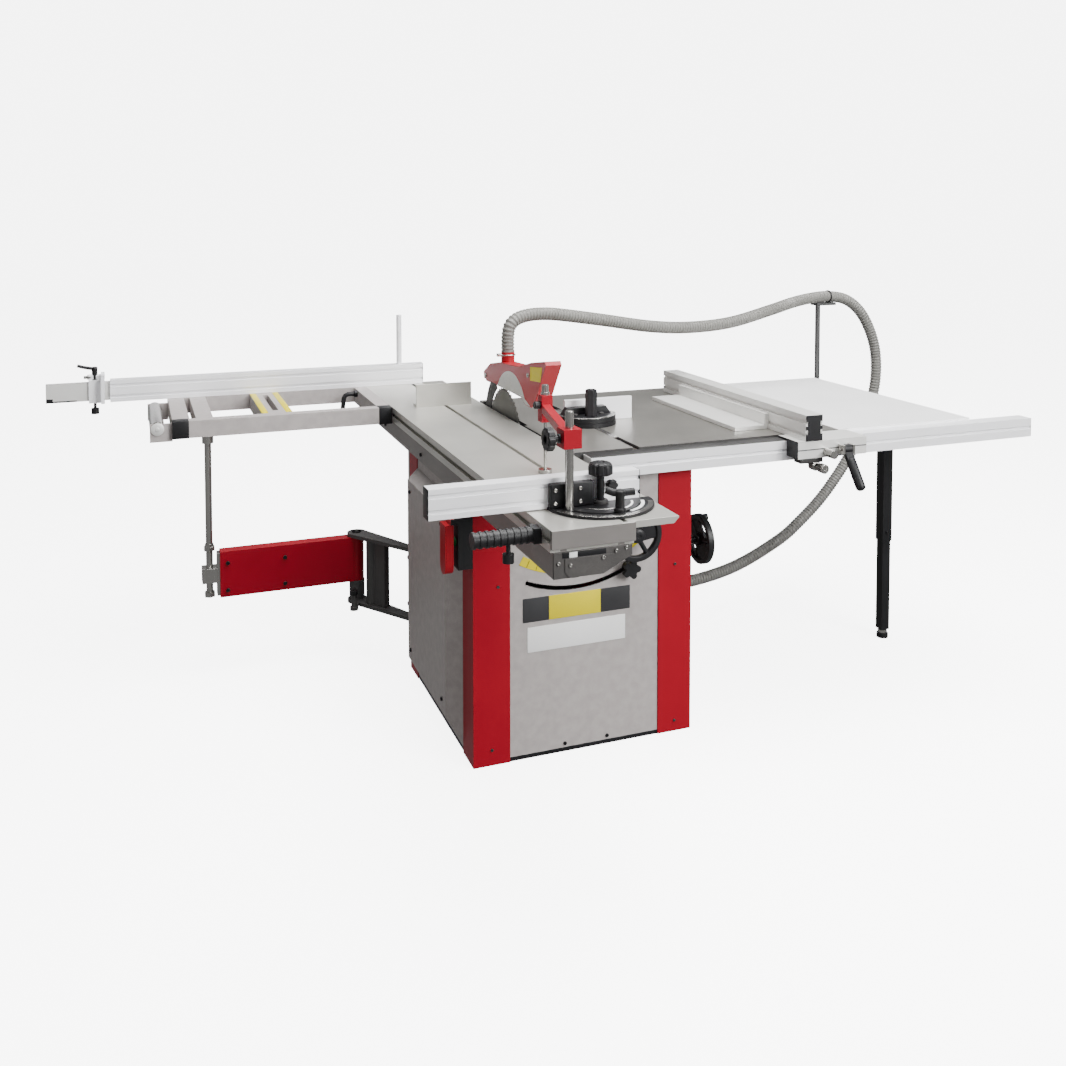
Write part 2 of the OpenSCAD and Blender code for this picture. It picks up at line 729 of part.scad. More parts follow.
module support_rod() {
    color(steel) {
        rod_z(rod_r, arm_z1 + run_gap, out_z0, rod_x_at, arm_y);
        rod_z(rod_collar_r, out_z0 - rod_collar_h, out_z0, rod_x_at, arm_y);
    }
}

// Lever that clamps the outrigger to the sliding table
lever_x = out_x1 + tube_w / 2;
lever_in = 100;
lever_y = out_y1 - lever_in;
lever_z = out_z0;
lever_len = 120;
lever_r = 8;
lever_hub_r = 15;
lever_hub_h = 26;
lever_stud_r = 5;
lever_drop_deg = 15;
module clamp_lever() {
    color(black) difference() {
        union() {
            rod_z(lever_hub_r, lever_z - lever_hub_h, lever_z - run_gap, lever_x, lever_y);
            translate([lever_x, lever_y, lever_z - lever_hub_h / 2]) rotate([0, -90 - lever_drop_deg, 0]) {
                cylinder(r = lever_r, h = lever_len);
                translate([0, 0, lever_len]) sphere(r = lever_hub_r);
            }
        }
        rod_z(lever_stud_r + fit_gap, lever_z - 2 * lever_hub_h, lever_z + over, lever_x, lever_y);
    }
}

// Front fence on its protractor, with the clamp column
front_in = 150;
front_y = front_in - slide_y;
arc_r = 130;
arc_slot_r = 100;
arc_slot_half = 6;
arc_slot_deg = 60;
arc_t = 6;
fence_z0 = table_h + run_gap;
fence_lift = 2;
slot_pin_r = t_slot / 2 - fit_gap;
slot_pin_z0 = table_h - t_neck;
front_fence_in = 27;
front_fence_x1 = slide_x1 - front_fence_in;
pivot_r = 9;
pivot_knob_r = 27;
pivot_knob_h = 22;
pivot_knob_up = 75;
pivot_knob_z = table_h + pivot_knob_up;
column_r = 10;
column_left = 89;
column_ahead = 35;
column_x = slot_x - column_left;
column_y = front_y - column_ahead;
groove = 10;
groove_t = 5;
module protractor() {
    color(black) {
        translate([slot_x, front_y, fence_z0]) linear_extrude(arc_t) difference() {
            intersection() {
                circle(arc_r);
                translate([-arc_r, -arc_r]) square([2 * arc_r, arc_r]);
            }
            difference() {
                intersection() {
                    circle(arc_slot_r + arc_slot_half);
                    wedge(arc_r, -arc_slot_deg, arc_slot_deg);
                }
                circle(arc_slot_r - arc_slot_half);
            }
            translate([column_x - slot_x, column_y - front_y]) circle(column_r);
        }
        rod_z(slot_pin_r, slot_pin_z0, fence_z0 + over, slot_x, front_y);
        rod_z(pivot_r, fence_z0, pivot_knob_z, slot_x, front_y - pivot_r);
        rod_z(pivot_knob_r, pivot_knob_z, pivot_knob_z + pivot_knob_h, slot_x, front_y - pivot_r);
    }
}
// A fence seen end on: a hollow box with two grooves in its front face
module fence_section(y0, h, z0) {
    difference() {
        translate([y0, z0]) square([fence_d, h]);
        for (z = [z0 + h / 4, z0 + 3 * h / 4])
            translate([y0 - over, z - groove / 2]) square([groove_t + over, groove]);
        translate([y0 + groove_t + wall, z0 + wall])
            square([fence_d - groove_t - 2 * wall, h - 2 * wall]);
    }
}
module front_fence() {
    color(alu) along_x(front_fence_x1 - front_fence_len, front_fence_x1)
        fence_section(front_y, front_fence_h, fence_z0 + fence_lift);
}
module fence_column() {
    color(steel) rod_z(column_r, fence_z0, fence_z0 + column_h, column_x, column_y);
}
clamp_up = 150;
clamp_z = table_h + clamp_up;
clamp_block = 44;
clamp_right = 77;
clamp_reach = 357;
clamp_x = column_x + clamp_right;
clamp_y = column_y + clamp_reach;
clamp_bar = 22;
spindle_r = 4;
foot_pad_r = 18;
foot_pad_h = 10;
yoke = 30;
yoke_h = 56;
clamp_knob_r = 26;
clamp_knob_t = 14;
clamp_bore = column_r + curve_gap;
spindle_top = 26;
module clamp_arm() {
    reach = [clamp_x - column_x, clamp_y - column_y];
    color(red) difference() {
        union() {
            block([column_x - clamp_block / 2, column_y - clamp_block / 2, clamp_z],
                [column_x + clamp_block / 2, column_y + clamp_block / 2, clamp_z + clamp_block]);
            translate([column_x, column_y, clamp_z + clamp_bar / 2]) rotate([0, 0, atan2(reach[1], reach[0])])
                translate([0, -clamp_bar / 2, 0]) cube([norm(reach), clamp_bar, clamp_bar]);
            block([clamp_x - yoke / 2, clamp_y - yoke / 2, clamp_z - yoke_h / 4],
                [clamp_x + yoke / 2, clamp_y + yoke / 2, clamp_z + yoke_h]);
            rod_x(clamp_knob_r, column_x - clamp_block - clamp_knob_t, column_x - clamp_block, column_y,
                clamp_z + clamp_block / 2);
            rod_x(knob_stem_r, column_x - clamp_block - over, column_x - clamp_bore, column_y,
                clamp_z + clamp_block / 2);
        }
        rod_z(clamp_bore, clamp_z - over, clamp_z + clamp_block + over, column_x, column_y);
        rod_z(spindle_r + fit_gap, clamp_z - yoke_h, clamp_z + yoke_h + over, clamp_x, clamp_y);
    }
}
module clamp_spindle() {
    color(steel) {
        rod_z(spindle_r, fence_z0, clamp_z + yoke_h + spindle_top, clamp_x, clamp_y);
        rod_z(foot_pad_r, fence_z0, fence_z0 + foot_pad_h, clamp_x, clamp_y);
        rod_z(foot_pad_r / 2, clamp_z + yoke_h + run_gap, clamp_z + yoke_h + spindle_top, clamp_x, clamp_y);
    }
}

// Rear fence with its drawn-out end and its flip stop
rear_in = 42;
rear_side = 90;
rear_y = out_y1 - rear_in;
rear_x1 = slide_x1 - rear_side;
rear_x0 = rear_x1 - rear_fence_len;
rear_rod_in = 88;
rear_rod_x = rear_x1 - rear_rod_in;
rear_pivot_y = rear_y + fence_d / 2;
rear_rod_h = 190;
inner_len = 380;
inner_y0 = rear_y + groove_t + wall + run_gap;
inner_d = fence_d - groove_t - 2 * wall - 2 * run_gap;
inner_z0 = fence_z0 + wall + run_gap;
inner_h = rear_fence_h - 2 * wall - 2 * run_gap;
module rear_fence() {
    color(alu) {
        along_x(rear_x0, rear_x1) fence_section(rear_y, rear_fence_h, fence_z0);
        rod_z(column_r, fence_z0, fence_z0 + rear_fence_h + rear_rod_h, rear_rod_x, rear_pivot_y);
        rod_z(slot_pin_r, slot_pin_z0, fence_z0 + over, slot_x, rear_pivot_y);
    }
}
module fence_extension() {
    color(alu) along_x(rear_x0 - fence_draw, rear_x0 + inner_len) difference() {
        translate([inner_y0, inner_z0]) square([inner_d, inner_h]);
        translate([inner_y0 + tube_wall, inner_z0 + tube_wall])
            square([inner_d - 2 * tube_wall, inner_h - 2 * tube_wall]);
    }
}
carrier_w = 40;
carrier_gap = 50;
carrier_t = 7;
carrier_x = rear_x0 - carrier_gap;
carrier_z1 = inner_z0 + inner_h + run_gap + carrier_t;
flip_axis_z = carrier_z1 + 2 * carrier_t;
flip_pin_r = 6;
flip_hub_r = 13;
flip_w = 12;
flip_reach = 40;
module stop_carriage() {
    x0 = carrier_x - carrier_w / 2;
    x1 = carrier_x + carrier_w / 2;
    color(black) {
        difference() {
            block([x0, inner_y0 - run_gap - carrier_t, inner_z0 - run_gap - carrier_t],
                [x1, inner_y0 + inner_d + run_gap + carrier_t, carrier_z1]);
            block([x0 - over, inner_y0 - run_gap, inner_z0 - run_gap],
                [x1 + over, inner_y0 + inner_d + run_gap, carrier_z1 - carrier_t]);
        }
        rod_z(knob_r, inner_z0 - run_gap - carrier_t - 2 * knob_h,
            inner_z0 - run_gap - carrier_t - knob_h, carrier_x,
            rear_pivot_y);
        rod_z(knob_stem_r, inner_z0 - carrier_t - knob_h - over, inner_z0 - run_gap - carrier_t + over,
            carrier_x, rear_pivot_y);
        block([x0, rear_pivot_y - flip_hub_r, carrier_z1 - over],
            [x1, rear_pivot_y + flip_hub_r, carrier_z1 + run_gap]);
        rod_x(flip_pin_r, x0, x1 + flip_w + over, rear_pivot_y, flip_axis_z);
        block([x0, rear_pivot_y - flip_pin_r, carrier_z1 - over],
            [x1, rear_pivot_y + flip_pin_r, flip_axis_z]);
    }
}
module flip_stop() {
    x0 = carrier_x + carrier_w / 2 + run_gap;
    color(steel) difference() {
        union() {
            rod_x(flip_hub_r, x0, x0 + flip_w, rear_pivot_y, flip_axis_z);
            block([x0, inner_y0 - flip_reach, flip_axis_z - flip_hub_r / 2],
                [x0 + flip_w, rear_pivot_y, flip_axis_z + flip_hub_r / 2]);
            block([x0, inner_y0 - flip_reach, fence_z0],
                [x0 + flip_w, inner_y0 - flip_reach / 2, flip_axis_z]);
        }
        rod_x(flip_pin_r + fit_gap, x0 - over, x0 + flip_w + over, rear_pivot_y, flip_axis_z);
    }
}

// Rip fence
rip_x0 = blade_x + rip_at;
rip_front = 118;
rip_y0 = -table_front - rip_front;
rip_z0 = table_h + over;
carriage_left = 24;
carriage_x0 = rip_x0 - carriage_left;
carriage_w = 242;
carriage_t = 60;
carriage_lip = 45;
module rip_carriage() {
    x1 = carriage_x0 + carriage_w;
    front = rail_y0 - run_gap - carriage_t;
    color(alu) {
        block([carriage_x0, front, rail_z1 - rail_h * 3 / 4], [x1, rail_y0 - run_gap, rip_z0]);
        block([carriage_x0, rail_y0 - run_gap - over, rail_z1 + run_gap],
            [x1, rail_y0 + carriage_lip, rip_z0]);
        rod_y(knob_r, front - 2 * knob_h, front + over, carriage_x0 + rip_knob_at, rail_z1 - rail_h / 2);
        for (x = [rip_lever_x - rip_lever_w / 2 - run_gap - rip_ear_t,
            rip_lever_x + rip_lever_w / 2 + run_gap])
            block([x, front - 2 * rip_hub_r, rip_lever_z - rip_hub_r],
                [x + rip_ear_t, front + over, rip_lever_z + rip_hub_r]);
        rod_x(rip_pin_r, rip_lever_x - rip_lever_w, rip_lever_x + rip_lever_w, rip_lever_y, rip_lever_z);
    }
}
module rip_fence() {
    color(alu) along_y(rip_y0, rip_y0 + rip_len) difference() {
        translate([rip_x0, rip_z0]) square([rip_w, rip_h]);
        for (z = [rip_z0 + rip_h / 4, rip_z0 + 3 * rip_h / 4])
            translate([rip_x0 - over, z - groove / 2]) square([groove_t + over, groove]);
        translate([rip_x0 + groove_t + wall, rip_z0 + wall])
            square([rip_w - groove_t - 2 * wall, rip_h - 2 * wall]);
    }
}
aux_w = 118;
aux_t = 12;
aux_h = 48;
aux_in = 203;
aux_y0 = rip_y0 + aux_in;
aux_len = 570;
module aux_fence() {
    x1 = rip_x0 - run_gap;
    color(alu) along_y(aux_y0, aux_y0 + aux_len) {
        polygon([[x1, rip_z0], [x1, rip_z0 + aux_h], [x1 - aux_t, rip_z0 + aux_h],
            [x1 - aux_t, rip_z0 + aux_t], [x1 - aux_w, rip_z0 + aux_t], [x1 - aux_w, rip_z0]]);
        translate([x1 - over, rip_z0 + rip_h / 4 - groove / 2 + curve_gap])
            square([over + run_gap + groove_t - curve_gap, groove - 2 * curve_gap]);
    }
}
rip_lever_at = 160;
rip_lever_drop = 22;
rip_lever_x = carriage_x0 + rip_lever_at;
rip_lever_z = rail_z1 - rip_lever_drop;
rip_lever_len = 125;
rip_lever_w = 26;
rip_lever_t = 12;
rip_lever_deg = 55;
rip_hub_r = 14;
rip_pin_r = 5;
rip_ear_t = 7;
rip_knob_at = 100;
rip_lever_y = rail_y0 - run_gap - carriage_t - rip_hub_r - run_gap;
module rip_lever() {
    color(black) difference() {
        union() {
            rod_x(rip_hub_r, rip_lever_x - rip_lever_w / 2, rip_lever_x + rip_lever_w / 2, rip_lever_y,
                rip_lever_z);
            translate([rip_lever_x, rip_lever_y, rip_lever_z]) rotate([rip_lever_deg, 0, 0])
                block([-rip_lever_w / 2, -rip_lever_len, -rip_lever_t / 2],
                    [rip_lever_w / 2, 0, rip_lever_t / 2]);
        }
        rod_x(rip_pin_r + fit_gap, rip_lever_x - rip_lever_w, rip_lever_x + rip_lever_w, rip_lever_y,
            rip_lever_z);
    }
}

// Mitre gauge on the main table
gauge_y = 40;
gauge_r = 100;
gauge_t = 12;
gauge_left = 63;
gauge_right = 172;
gauge_fence_x0 = mitre_x - gauge_left;
gauge_fence_x1 = mitre_x + gauge_right;
gauge_fence_h = 72;
gauge_fence_t = 14;
bar_len = 460;
bar_ahead = 230;
bar_y0 = gauge_y - bar_ahead;
gauge_knob_r = 16;
gauge_knob_h = 90;
module mitre_bar() {
    bar_z0 = table_h - mitre_depth + curve_gap;
    color(steel) {
        block([mitre_x - mitre_w / 2 + curve_gap, bar_y0, bar_z0],
            [mitre_x + mitre_w / 2 - curve_gap, bar_y0 + bar_len,
            table_h]);
        block([mitre_x - mitre_foot / 2 + curve_gap, bar_y0, bar_z0],
            [mitre_x + mitre_foot / 2 - curve_gap, bar_y0 + bar_len,
                table_h - mitre_depth + mitre_foot_h - curve_gap]);
        rod_z(pivot_r, table_h - over, table_h + gauge_t, mitre_x, gauge_y);
    }
}
module mitre_head() {
    color(black) {
        translate([mitre_x, gauge_y, table_h + run_gap]) linear_extrude(gauge_t) difference() {
            intersection() {
                circle(gauge_r);
                translate([-gauge_r, -gauge_r]) square([2 * gauge_r, gauge_r + gauge_fence_t]);
            }
            circle(pivot_r + fit_gap);
        }
        block([gauge_fence_x0, gauge_y + gauge_fence_t, table_h + run_gap],
            [gauge_fence_x1, gauge_y + 2 * gauge_fence_t, table_h + gauge_fence_h]);
        rod_z(gauge_knob_r, table_h + gauge_t, table_h + gauge_knob_h, mitre_x, gauge_y - gauge_r / 2);
    }
}

// Switch on the left face of the front left post
switch_d = 41;
switch_w = 66;
switch_h = 140;
switch_drop = 42;
switch_z1 = beam_z0 - switch_drop;
switch_z0 = switch_z1 - switch_h;
switch_wall = 4;
paddle_gap = 11;
paddle_t = 24;
paddle_below = 15;
paddle_z0 = switch_z0 - paddle_below;
paddle_top_in = 10;
paddle_z1 = switch_z1 - paddle_top_in;
paddle_r = 7;
paddle_pin_r = 3;
button_r = 12;
button_out = 6;
button_up = 70;
button_z = switch_z0 + button_up;
switch_y0 = -cab_y;
switch_x1 = -cab_x;
switch_x0 = switch_x1 - switch_d;
switch_mid_y = switch_y0 + switch_w / 2;
paddle_axis_x = switch_x0 - paddle_gap / 2 - paddle_r;
paddle_axis_z = switch_z1 - paddle_r;
ear_t = 6;
module switch_box() {
    color(black) {
        difference() {
            block([switch_x0, switch_y0, switch_z0], [switch_x1, switch_y0 + switch_w, switch_z1]);
            block([switch_x0 + switch_wall, switch_y0 + switch_wall, switch_z0 + switch_wall],
                [switch_x1 - switch_wall, switch_y0 + switch_w - switch_wall, switch_z1 - switch_wall]);
            rod_x(button_r + curve_gap, switch_x0 - over, switch_x0 + switch_wall + over, switch_mid_y,
                button_z);
        }
        for (y = [switch_y0, switch_y0 + switch_w - ear_t])
            block([paddle_axis_x - paddle_r, y, paddle_axis_z - paddle_r],
                [switch_x0 + over, y + ear_t, switch_z1]);
        rod_y(paddle_pin_r, switch_y0, switch_y0 + switch_w, paddle_axis_x, paddle_axis_z);
    }
}
module stop_paddle() {
    y0 = switch_y0 + ear_t + run_gap;
    y1 = switch_y0 + switch_w - ear_t - run_gap;
    end_r = (y1 - y0) / 2;
    color(red) difference() {
        union() {
            rod_y(paddle_r, y0, y1, paddle_axis_x, paddle_axis_z);
            block([switch_x0 - paddle_gap - paddle_t, y0, paddle_z0 + end_r],
                [switch_x0 - paddle_gap, y1, paddle_z1 - paddle_r]);
            rod_x(end_r, switch_x0 - paddle_gap - paddle_t, switch_x0 - paddle_gap, switch_mid_y,
                paddle_z0 + end_r);
            block([paddle_axis_x - paddle_r, y0, paddle_z1 - 2 * paddle_r],
                [paddle_axis_x, y1, paddle_axis_z]);
        }
        rod_y(paddle_pin_r + fit_gap, y0 - over, y1 + over, paddle_axis_x, paddle_axis_z);
    }
}
module start_button() {
    color(green) rod_x(button_r, switch_x0 - button_out, switch_x0 + 2 * switch_wall, switch_mid_y, button_z);
}

// Saw unit
blade_r = blade_d / 2;
arbor_z = table_h + blade_up - blade_r;
arbor_r = 12.5;
housing_r = 30;
housing_side = 22;
housing_x0 = blade_x + housing_side;
car_side = 76;
car_w = 50;
car_front = 108;
car_rear = 112;
car_below = 82;
car_above = 18;
car_x0 = blade_x + car_side;
car_x1 = car_x0 + car_w;
car_y0 = arbor_y - car_front;
car_y1 = arbor_y + car_rear;
car_z0 = arbor_z - car_below;
car_z1 = arbor_z + car_above;
col_r = 12;
col_x = (car_x0 + car_x1) / 2;
col_apart = 80;
col_ys = [arbor_y - col_apart, arbor_y + col_apart];
flange_r = 26;
flange_t = 6;
nut_r = 15;
nut_t = 8;
pulley_gap = 6;
pulley_w = 20;
pulley_x0 = car_x1 + pulley_gap;
pulley_x1 = pulley_x0 + pulley_w;
arbor_pulley_r = 30;
motor_pulley_r = 40;
motor_gap = 8;
motor_x0 = pulley_x1 + motor_gap;
motor_len = 186;
motor_drop = 190;
motor_shaft_r = 11;
motor_shaft_in = 20;
motor_z = arbor_z - motor_drop;
flange_plate_t = 8;
cheek_y0 = 56;
cheek_y1 = 68;
cheek_below = 222;
cheek_z0 = arbor_z - cheek_below;
pinion_r = 16;
rack_ahead = 126;
rack_w = 28;
rack_y0 = arbor_y - rack_ahead;
rack_y1 = rack_y0 + rack_w;
cradle_w = 30;
cradle_h = 22;
cradle_room = 6;
cradle_x0 = col_x - cradle_w / 2;
cradle_x1 = col_x + cradle_w / 2;
cradle_z1 = plate_z0 - cradle_room;
cradle_z0 = cradle_z1 - cradle_h;
cradle_left = 16;
cradle_shoulder = 60;
cradle_toe = 30;
cradle_low = 10;
plate_front = 198;
plate_rear = 222;
front_plate_y0 = arbor_y - plate_front;
plate_d = 12;
rear_plate_y0 = arbor_y + plate_rear;
foot_bar_below = 342;
foot_bar_z0 = arbor_z - foot_bar_below;
foot_bar_h = 22;
tongue_r0 = 150;
tongue_r1 = 165;
tongue_d = 8;
tongue_a0 = 8;
tongue_a1 = 45;
bracket_r0 = 135;
bracket_r1 = 180;
bracket_t = 20;
tongue_spare_deg = 3;
hanger_side = 99;
hanger_w = 47;
hanger_drop = 123;
hanger_x0 = blade_x + hanger_side;
hanger_x1 = hanger_x0 + hanger_w;
hanger_z0 = table_h - hanger_drop;
boss_r = 24;
module trunnion_brackets() {
    color(iron) for (side = [0, 1]) {
        y0 = side == 0 ? front_plate_y0 - curve_gap - bracket_t : rear_plate_y0 + plate_d + curve_gap;
        groove_y = side == 0 ? front_plate_y0 - tongue_d - run_gap : y0 - over;
        difference() {
            along_y(y0, y0 + bracket_t) {
                tilt_arc(bracket_r0, bracket_r1, tongue_a0 - tilt_range - 2 * tongue_spare_deg,
                    tongue_a1 + 2 * tongue_spare_deg);
                translate([hanger_x0, hanger_z0]) square([hanger_x1 - hanger_x0, plate_z0 - hanger_z0]);
            }
            along_y(groove_y, groove_y + tongue_d + run_gap + over)
                tilt_arc(tongue_r0 - curve_gap, tongue_r1 + curve_gap,
                    tongue_a0 - tilt_range - tongue_spare_deg, tongue_a1 + tongue_spare_deg);
        }
    }
}
module cradle() {
    left = blade_x + cradle_left;
    low = car_z0 - cradle_low;
    head = [[left, low], [left, car_z0 + cradle_shoulder], [cradle_x0, cradle_z1], [cradle_x1, cradle_z1]];
    plate_shape = concat(head, [[lock_x + boss_r, shaft_z], [lock_x + boss_r, lock_z - boss_r],
        [lock_x - boss_r, lock_z - boss_r], [lock_x - boss_r, shaft_z], [cradle_x0, low]]);
    rear_shape = concat(head, [[cradle_x1 + cradle_toe, car_z0], [cradle_x0, low]]);
    color(iron) difference() {
        union() {
            block([cradle_x0, front_plate_y0, cradle_z0], [cradle_x1, rear_plate_y0 + plate_d, cradle_z1]);
            along_y(front_plate_y0, front_plate_y0 + plate_d) polygon(plate_shape);
            along_y(rear_plate_y0, rear_plate_y0 + plate_d) polygon(rear_shape);
            along_y(front_plate_y0 - tongue_d, front_plate_y0 + over)
                tilt_arc(tongue_r0, tongue_r1, tongue_a0, tongue_a1);
            along_y(rear_plate_y0 + plate_d - over, rear_plate_y0 + plate_d + tongue_d)
                tilt_arc(tongue_r0, tongue_r1, tongue_a0, tongue_a1);
            rod_y(boss_r, front_plate_y0, front_plate_y0 + 3 * plate_d, shaft_x, shaft_z);
            rod_y(lock_stud_r, -cab_y - lock_stud_r, front_plate_y0 + plate_d, lock_x, lock_z);
            for (y = col_ys) rod_z(col_r, foot_bar_z0, cradle_z1, col_x, y);
            block([cradle_x0, col_ys[0] - boss_r, foot_bar_z0],
                [cradle_x1, col_ys[1] + boss_r, foot_bar_z0 + foot_bar_h]);
        }
        rod_y(shaft_r + fit_gap, front_plate_y0 - over, front_plate_y0 + 3 * plate_d + over, shaft_x,
            shaft_z);
    }
}
knife_gap = 6;
knife_t = 2.5;
knife_w = 54;
knife_a0 = -35;
knife_a1 = 60;
knife_seat_back = 147;
knife_seat_w = 40;
knife_seat_h = 40;
knife_arm_w = 20;
knife_seat_y0 = arbor_y + knife_seat_back;
knife_seat_y1 = knife_seat_y0 + knife_seat_w;
knife_seat_z0 = car_z0 - knife_seat_h;
knife_arm_x1 = car_x0 + knife_arm_w;
module arbor_carriage() {
    color(iron) difference() {
        union() {
            block([car_x0, car_y0, car_z0], [car_x1, car_y1, car_z1]);
            rod_x(housing_r, housing_x0, car_x0 + over, arbor_y, arbor_z);
            for (y = [arbor_y - cheek_y1, arbor_y + cheek_y0])
                block([car_x1 - over, y, cheek_z0], [motor_x0, y + cheek_y1 - cheek_y0, car_z1]);
            block([car_x1 - over, rack_y0, cheek_z0], [shaft_x - pinion_r - curve_gap, rack_y1, car_z1]);
            block([blade_x + knife_t / 2, knife_seat_y0, knife_seat_z0],
                [knife_arm_x1, knife_seat_y1, car_z0 + over]);
            block([car_x0, car_y1 - over, knife_seat_z0], [knife_arm_x1, knife_seat_y1, car_z0 + over]);
            block([car_x0, car_y1 - over, car_z0], [knife_arm_x1, knife_seat_y0 + over, car_z0 + 2 * nut_r]);
        }
        rod_x(arbor_r + fit_gap, housing_x0 - over, car_x1 + over, arbor_y, arbor_z);
        for (y = col_ys) rod_z(col_r + fit_gap, car_z0 - over, car_z1 + over, col_x, y);
    }
}
module arbor_spindle() {
    color(steel) {
        rod_x(arbor_r, blade_x - blade_t / 2 - flange_t - nut_t, pulley_x1, arbor_y, arbor_z);
        rod_x(flange_r, blade_x + blade_t / 2, blade_x + blade_t / 2 + flange_t, arbor_y, arbor_z);
        rod_x(arbor_pulley_r, pulley_x0, pulley_x1, arbor_y, arbor_z);
    }
}
tooth_h = 9;
tooth_lead_share = 0.35;
module saw_blade() {
    pitch = 360 / teeth;
    points = [for (i = [0:teeth - 1]) each [
        blade_r * [cos(i * pitch), sin(i * pitch)],
        (blade_r - tooth_h) * [cos((i + tooth_lead_share) * pitch), sin((i + tooth_lead_share) * pitch)]]];
    color(steel) along_x(blade_x - blade_t / 2, blade_x + blade_t / 2)
        translate([arbor_y, arbor_z]) difference() {
        polygon(points);
        circle(arbor_r);
    }
}
module blade_flange() {
    x1 = blade_x - blade_t / 2;
    color(steel) difference() {
        union() {
            rod_x(flange_r, x1 - flange_t, x1, arbor_y, arbor_z);
            rod_x(nut_r, x1 - flange_t - nut_t, x1 - flange_t + over, arbor_y, arbor_z);
        }
        rod_x(arbor_r, x1 - flange_t - nut_t - over, x1 + over, arbor_y, arbor_z);
    }
}
module motor() {
    color(blue_grey) difference() {
        union() {
            rod_x(motor_d / 2, motor_x0 + flange_plate_t, motor_x0 + motor_len, arbor_y, motor_z);
            block([motor_x0, arbor_y - cheek_y1, motor_z - motor_d / 2],
                [motor_x0 + flange_plate_t, arbor_y + cheek_y1, motor_z + motor_d / 2]);
        }
        rod_x(motor_shaft_r + fit_gap, motor_x0 - over, motor_x0 + motor_shaft_in, arbor_y, motor_z);
    }
}
module motor_pulley() {
    color(steel) {
        rod_x(motor_pulley_r, pulley_x0, pulley_x1, arbor_y, motor_z);
        rod_x(motor_shaft_r, pulley_x0, motor_x0 + motor_shaft_in - fit_gap, arbor_y, motor_z);
    }
}
belt_t = 4;
module belt_loop(grow) {
    hull() {
        translate([arbor_y, arbor_z]) circle(arbor_pulley_r + grow);
        translate([arbor_y, motor_z]) circle(motor_pulley_r + grow);
    }
}
module drive_belt() {
    color(black) along_x(pulley_x0 + run_gap, pulley_x1 - run_gap) difference() {
        belt_loop(curve_gap + belt_t);
        belt_loop(curve_gap);
    }
}

// A handwheel on its shaft, drawn along Z with the rim in the XY plane
rim_r = 8;
hub_r = 19;
hub_h = 30;
spoke_r = 7;
spokes = 3;
grip_h = 48;
grip_w = 10;
module handwheel(grip_deg) {
    mid = wheel_d / 2 - rim_r;
    rotate_extrude() translate([mid, 0]) circle(rim_r);
    translate([0, 0, -hub_h / 2]) cylinder(r = hub_r, h = hub_h);
    for (i = [0:spokes - 1]) rotate([0, 90, grip_deg + i * 360 / spokes]) cylinder(r = spoke_r, h = mid);
    rotate([0, 0, grip_deg]) translate([mid, 0, 0]) cylinder(r = grip_w, h = grip_h);
}
height_wheel_out = 69;
height_wheel_y = -cab_y - height_wheel_out;
height_grip_deg = 60;
tilt_wheel_out = 90;
tilt_wheel_x = cab_x + tilt_wheel_out;
tilt_grip_deg = 140;
tilt_shaft_in = 125;
tilt_shaft_x0 = cab_x - tilt_shaft_in;
worm_r = 15;
worm_len = 50;
module height_wheel() {
    color(black) {
        translate([shaft_x, height_wheel_y, shaft_z]) rotate([90, 0, 0]) handwheel(height_grip_deg);
        rod_y(shaft_r, height_wheel_y, rack_y1, shaft_x, shaft_z);
        rod_y(pinion_r, rack_y0, rack_y1, shaft_x, shaft_z);
    }
}
module tilt_wheel() {
    color(black) {
        translate([tilt_wheel_x, tilt_shaft_y, tilt_shaft_z]) rotate([0, 90, 0]) handwheel(tilt_grip_deg);
        rod_x(shaft_r, tilt_shaft_x0, tilt_wheel_x, tilt_shaft_y, tilt_shaft_z);
        rod_x(worm_r, tilt_shaft_x0, tilt_shaft_x0 + worm_len, tilt_shaft_y, tilt_shaft_z);
    }
}
lock_knob_r = 28;
lock_knob_h = 30;
lobes = 5;
lobe_r = 9;
module lock_knob() {
    y1 = -cab_y - run_gap;
    color(black) difference() {
        union() {
            rod_y(lock_knob_r - lobe_r, y1 - lock_knob_h, y1, lock_x, lock_z);
            for (i = [0:lobes - 1])
                rod_y(lobe_r, y1 - lock_knob_h, y1 - lock_knob_h / 2,
                    lock_x + (lock_knob_r - lobe_r) * cos(i * 360 / lobes),
                    lock_z + (lock_knob_r - lobe_r) * sin(i * 360 / lobes));
        }
        rod_y(lock_stud_r + fit_gap, y1 - lock_stud_r, y1 + over, lock_x, lock_z);
    }
}

module riving_knife() {
    r0 = blade_r + knife_gap;
    color(black) along_x(blade_x - knife_t / 2, blade_x + knife_t / 2) translate([arbor_y, arbor_z])
        intersection() {
            difference() {
                circle(r0 + knife_w);
                circle(r0);
            }
            rotate(90) wedge(r0 + knife_w + over, knife_a0, knife_a1);
        }
}

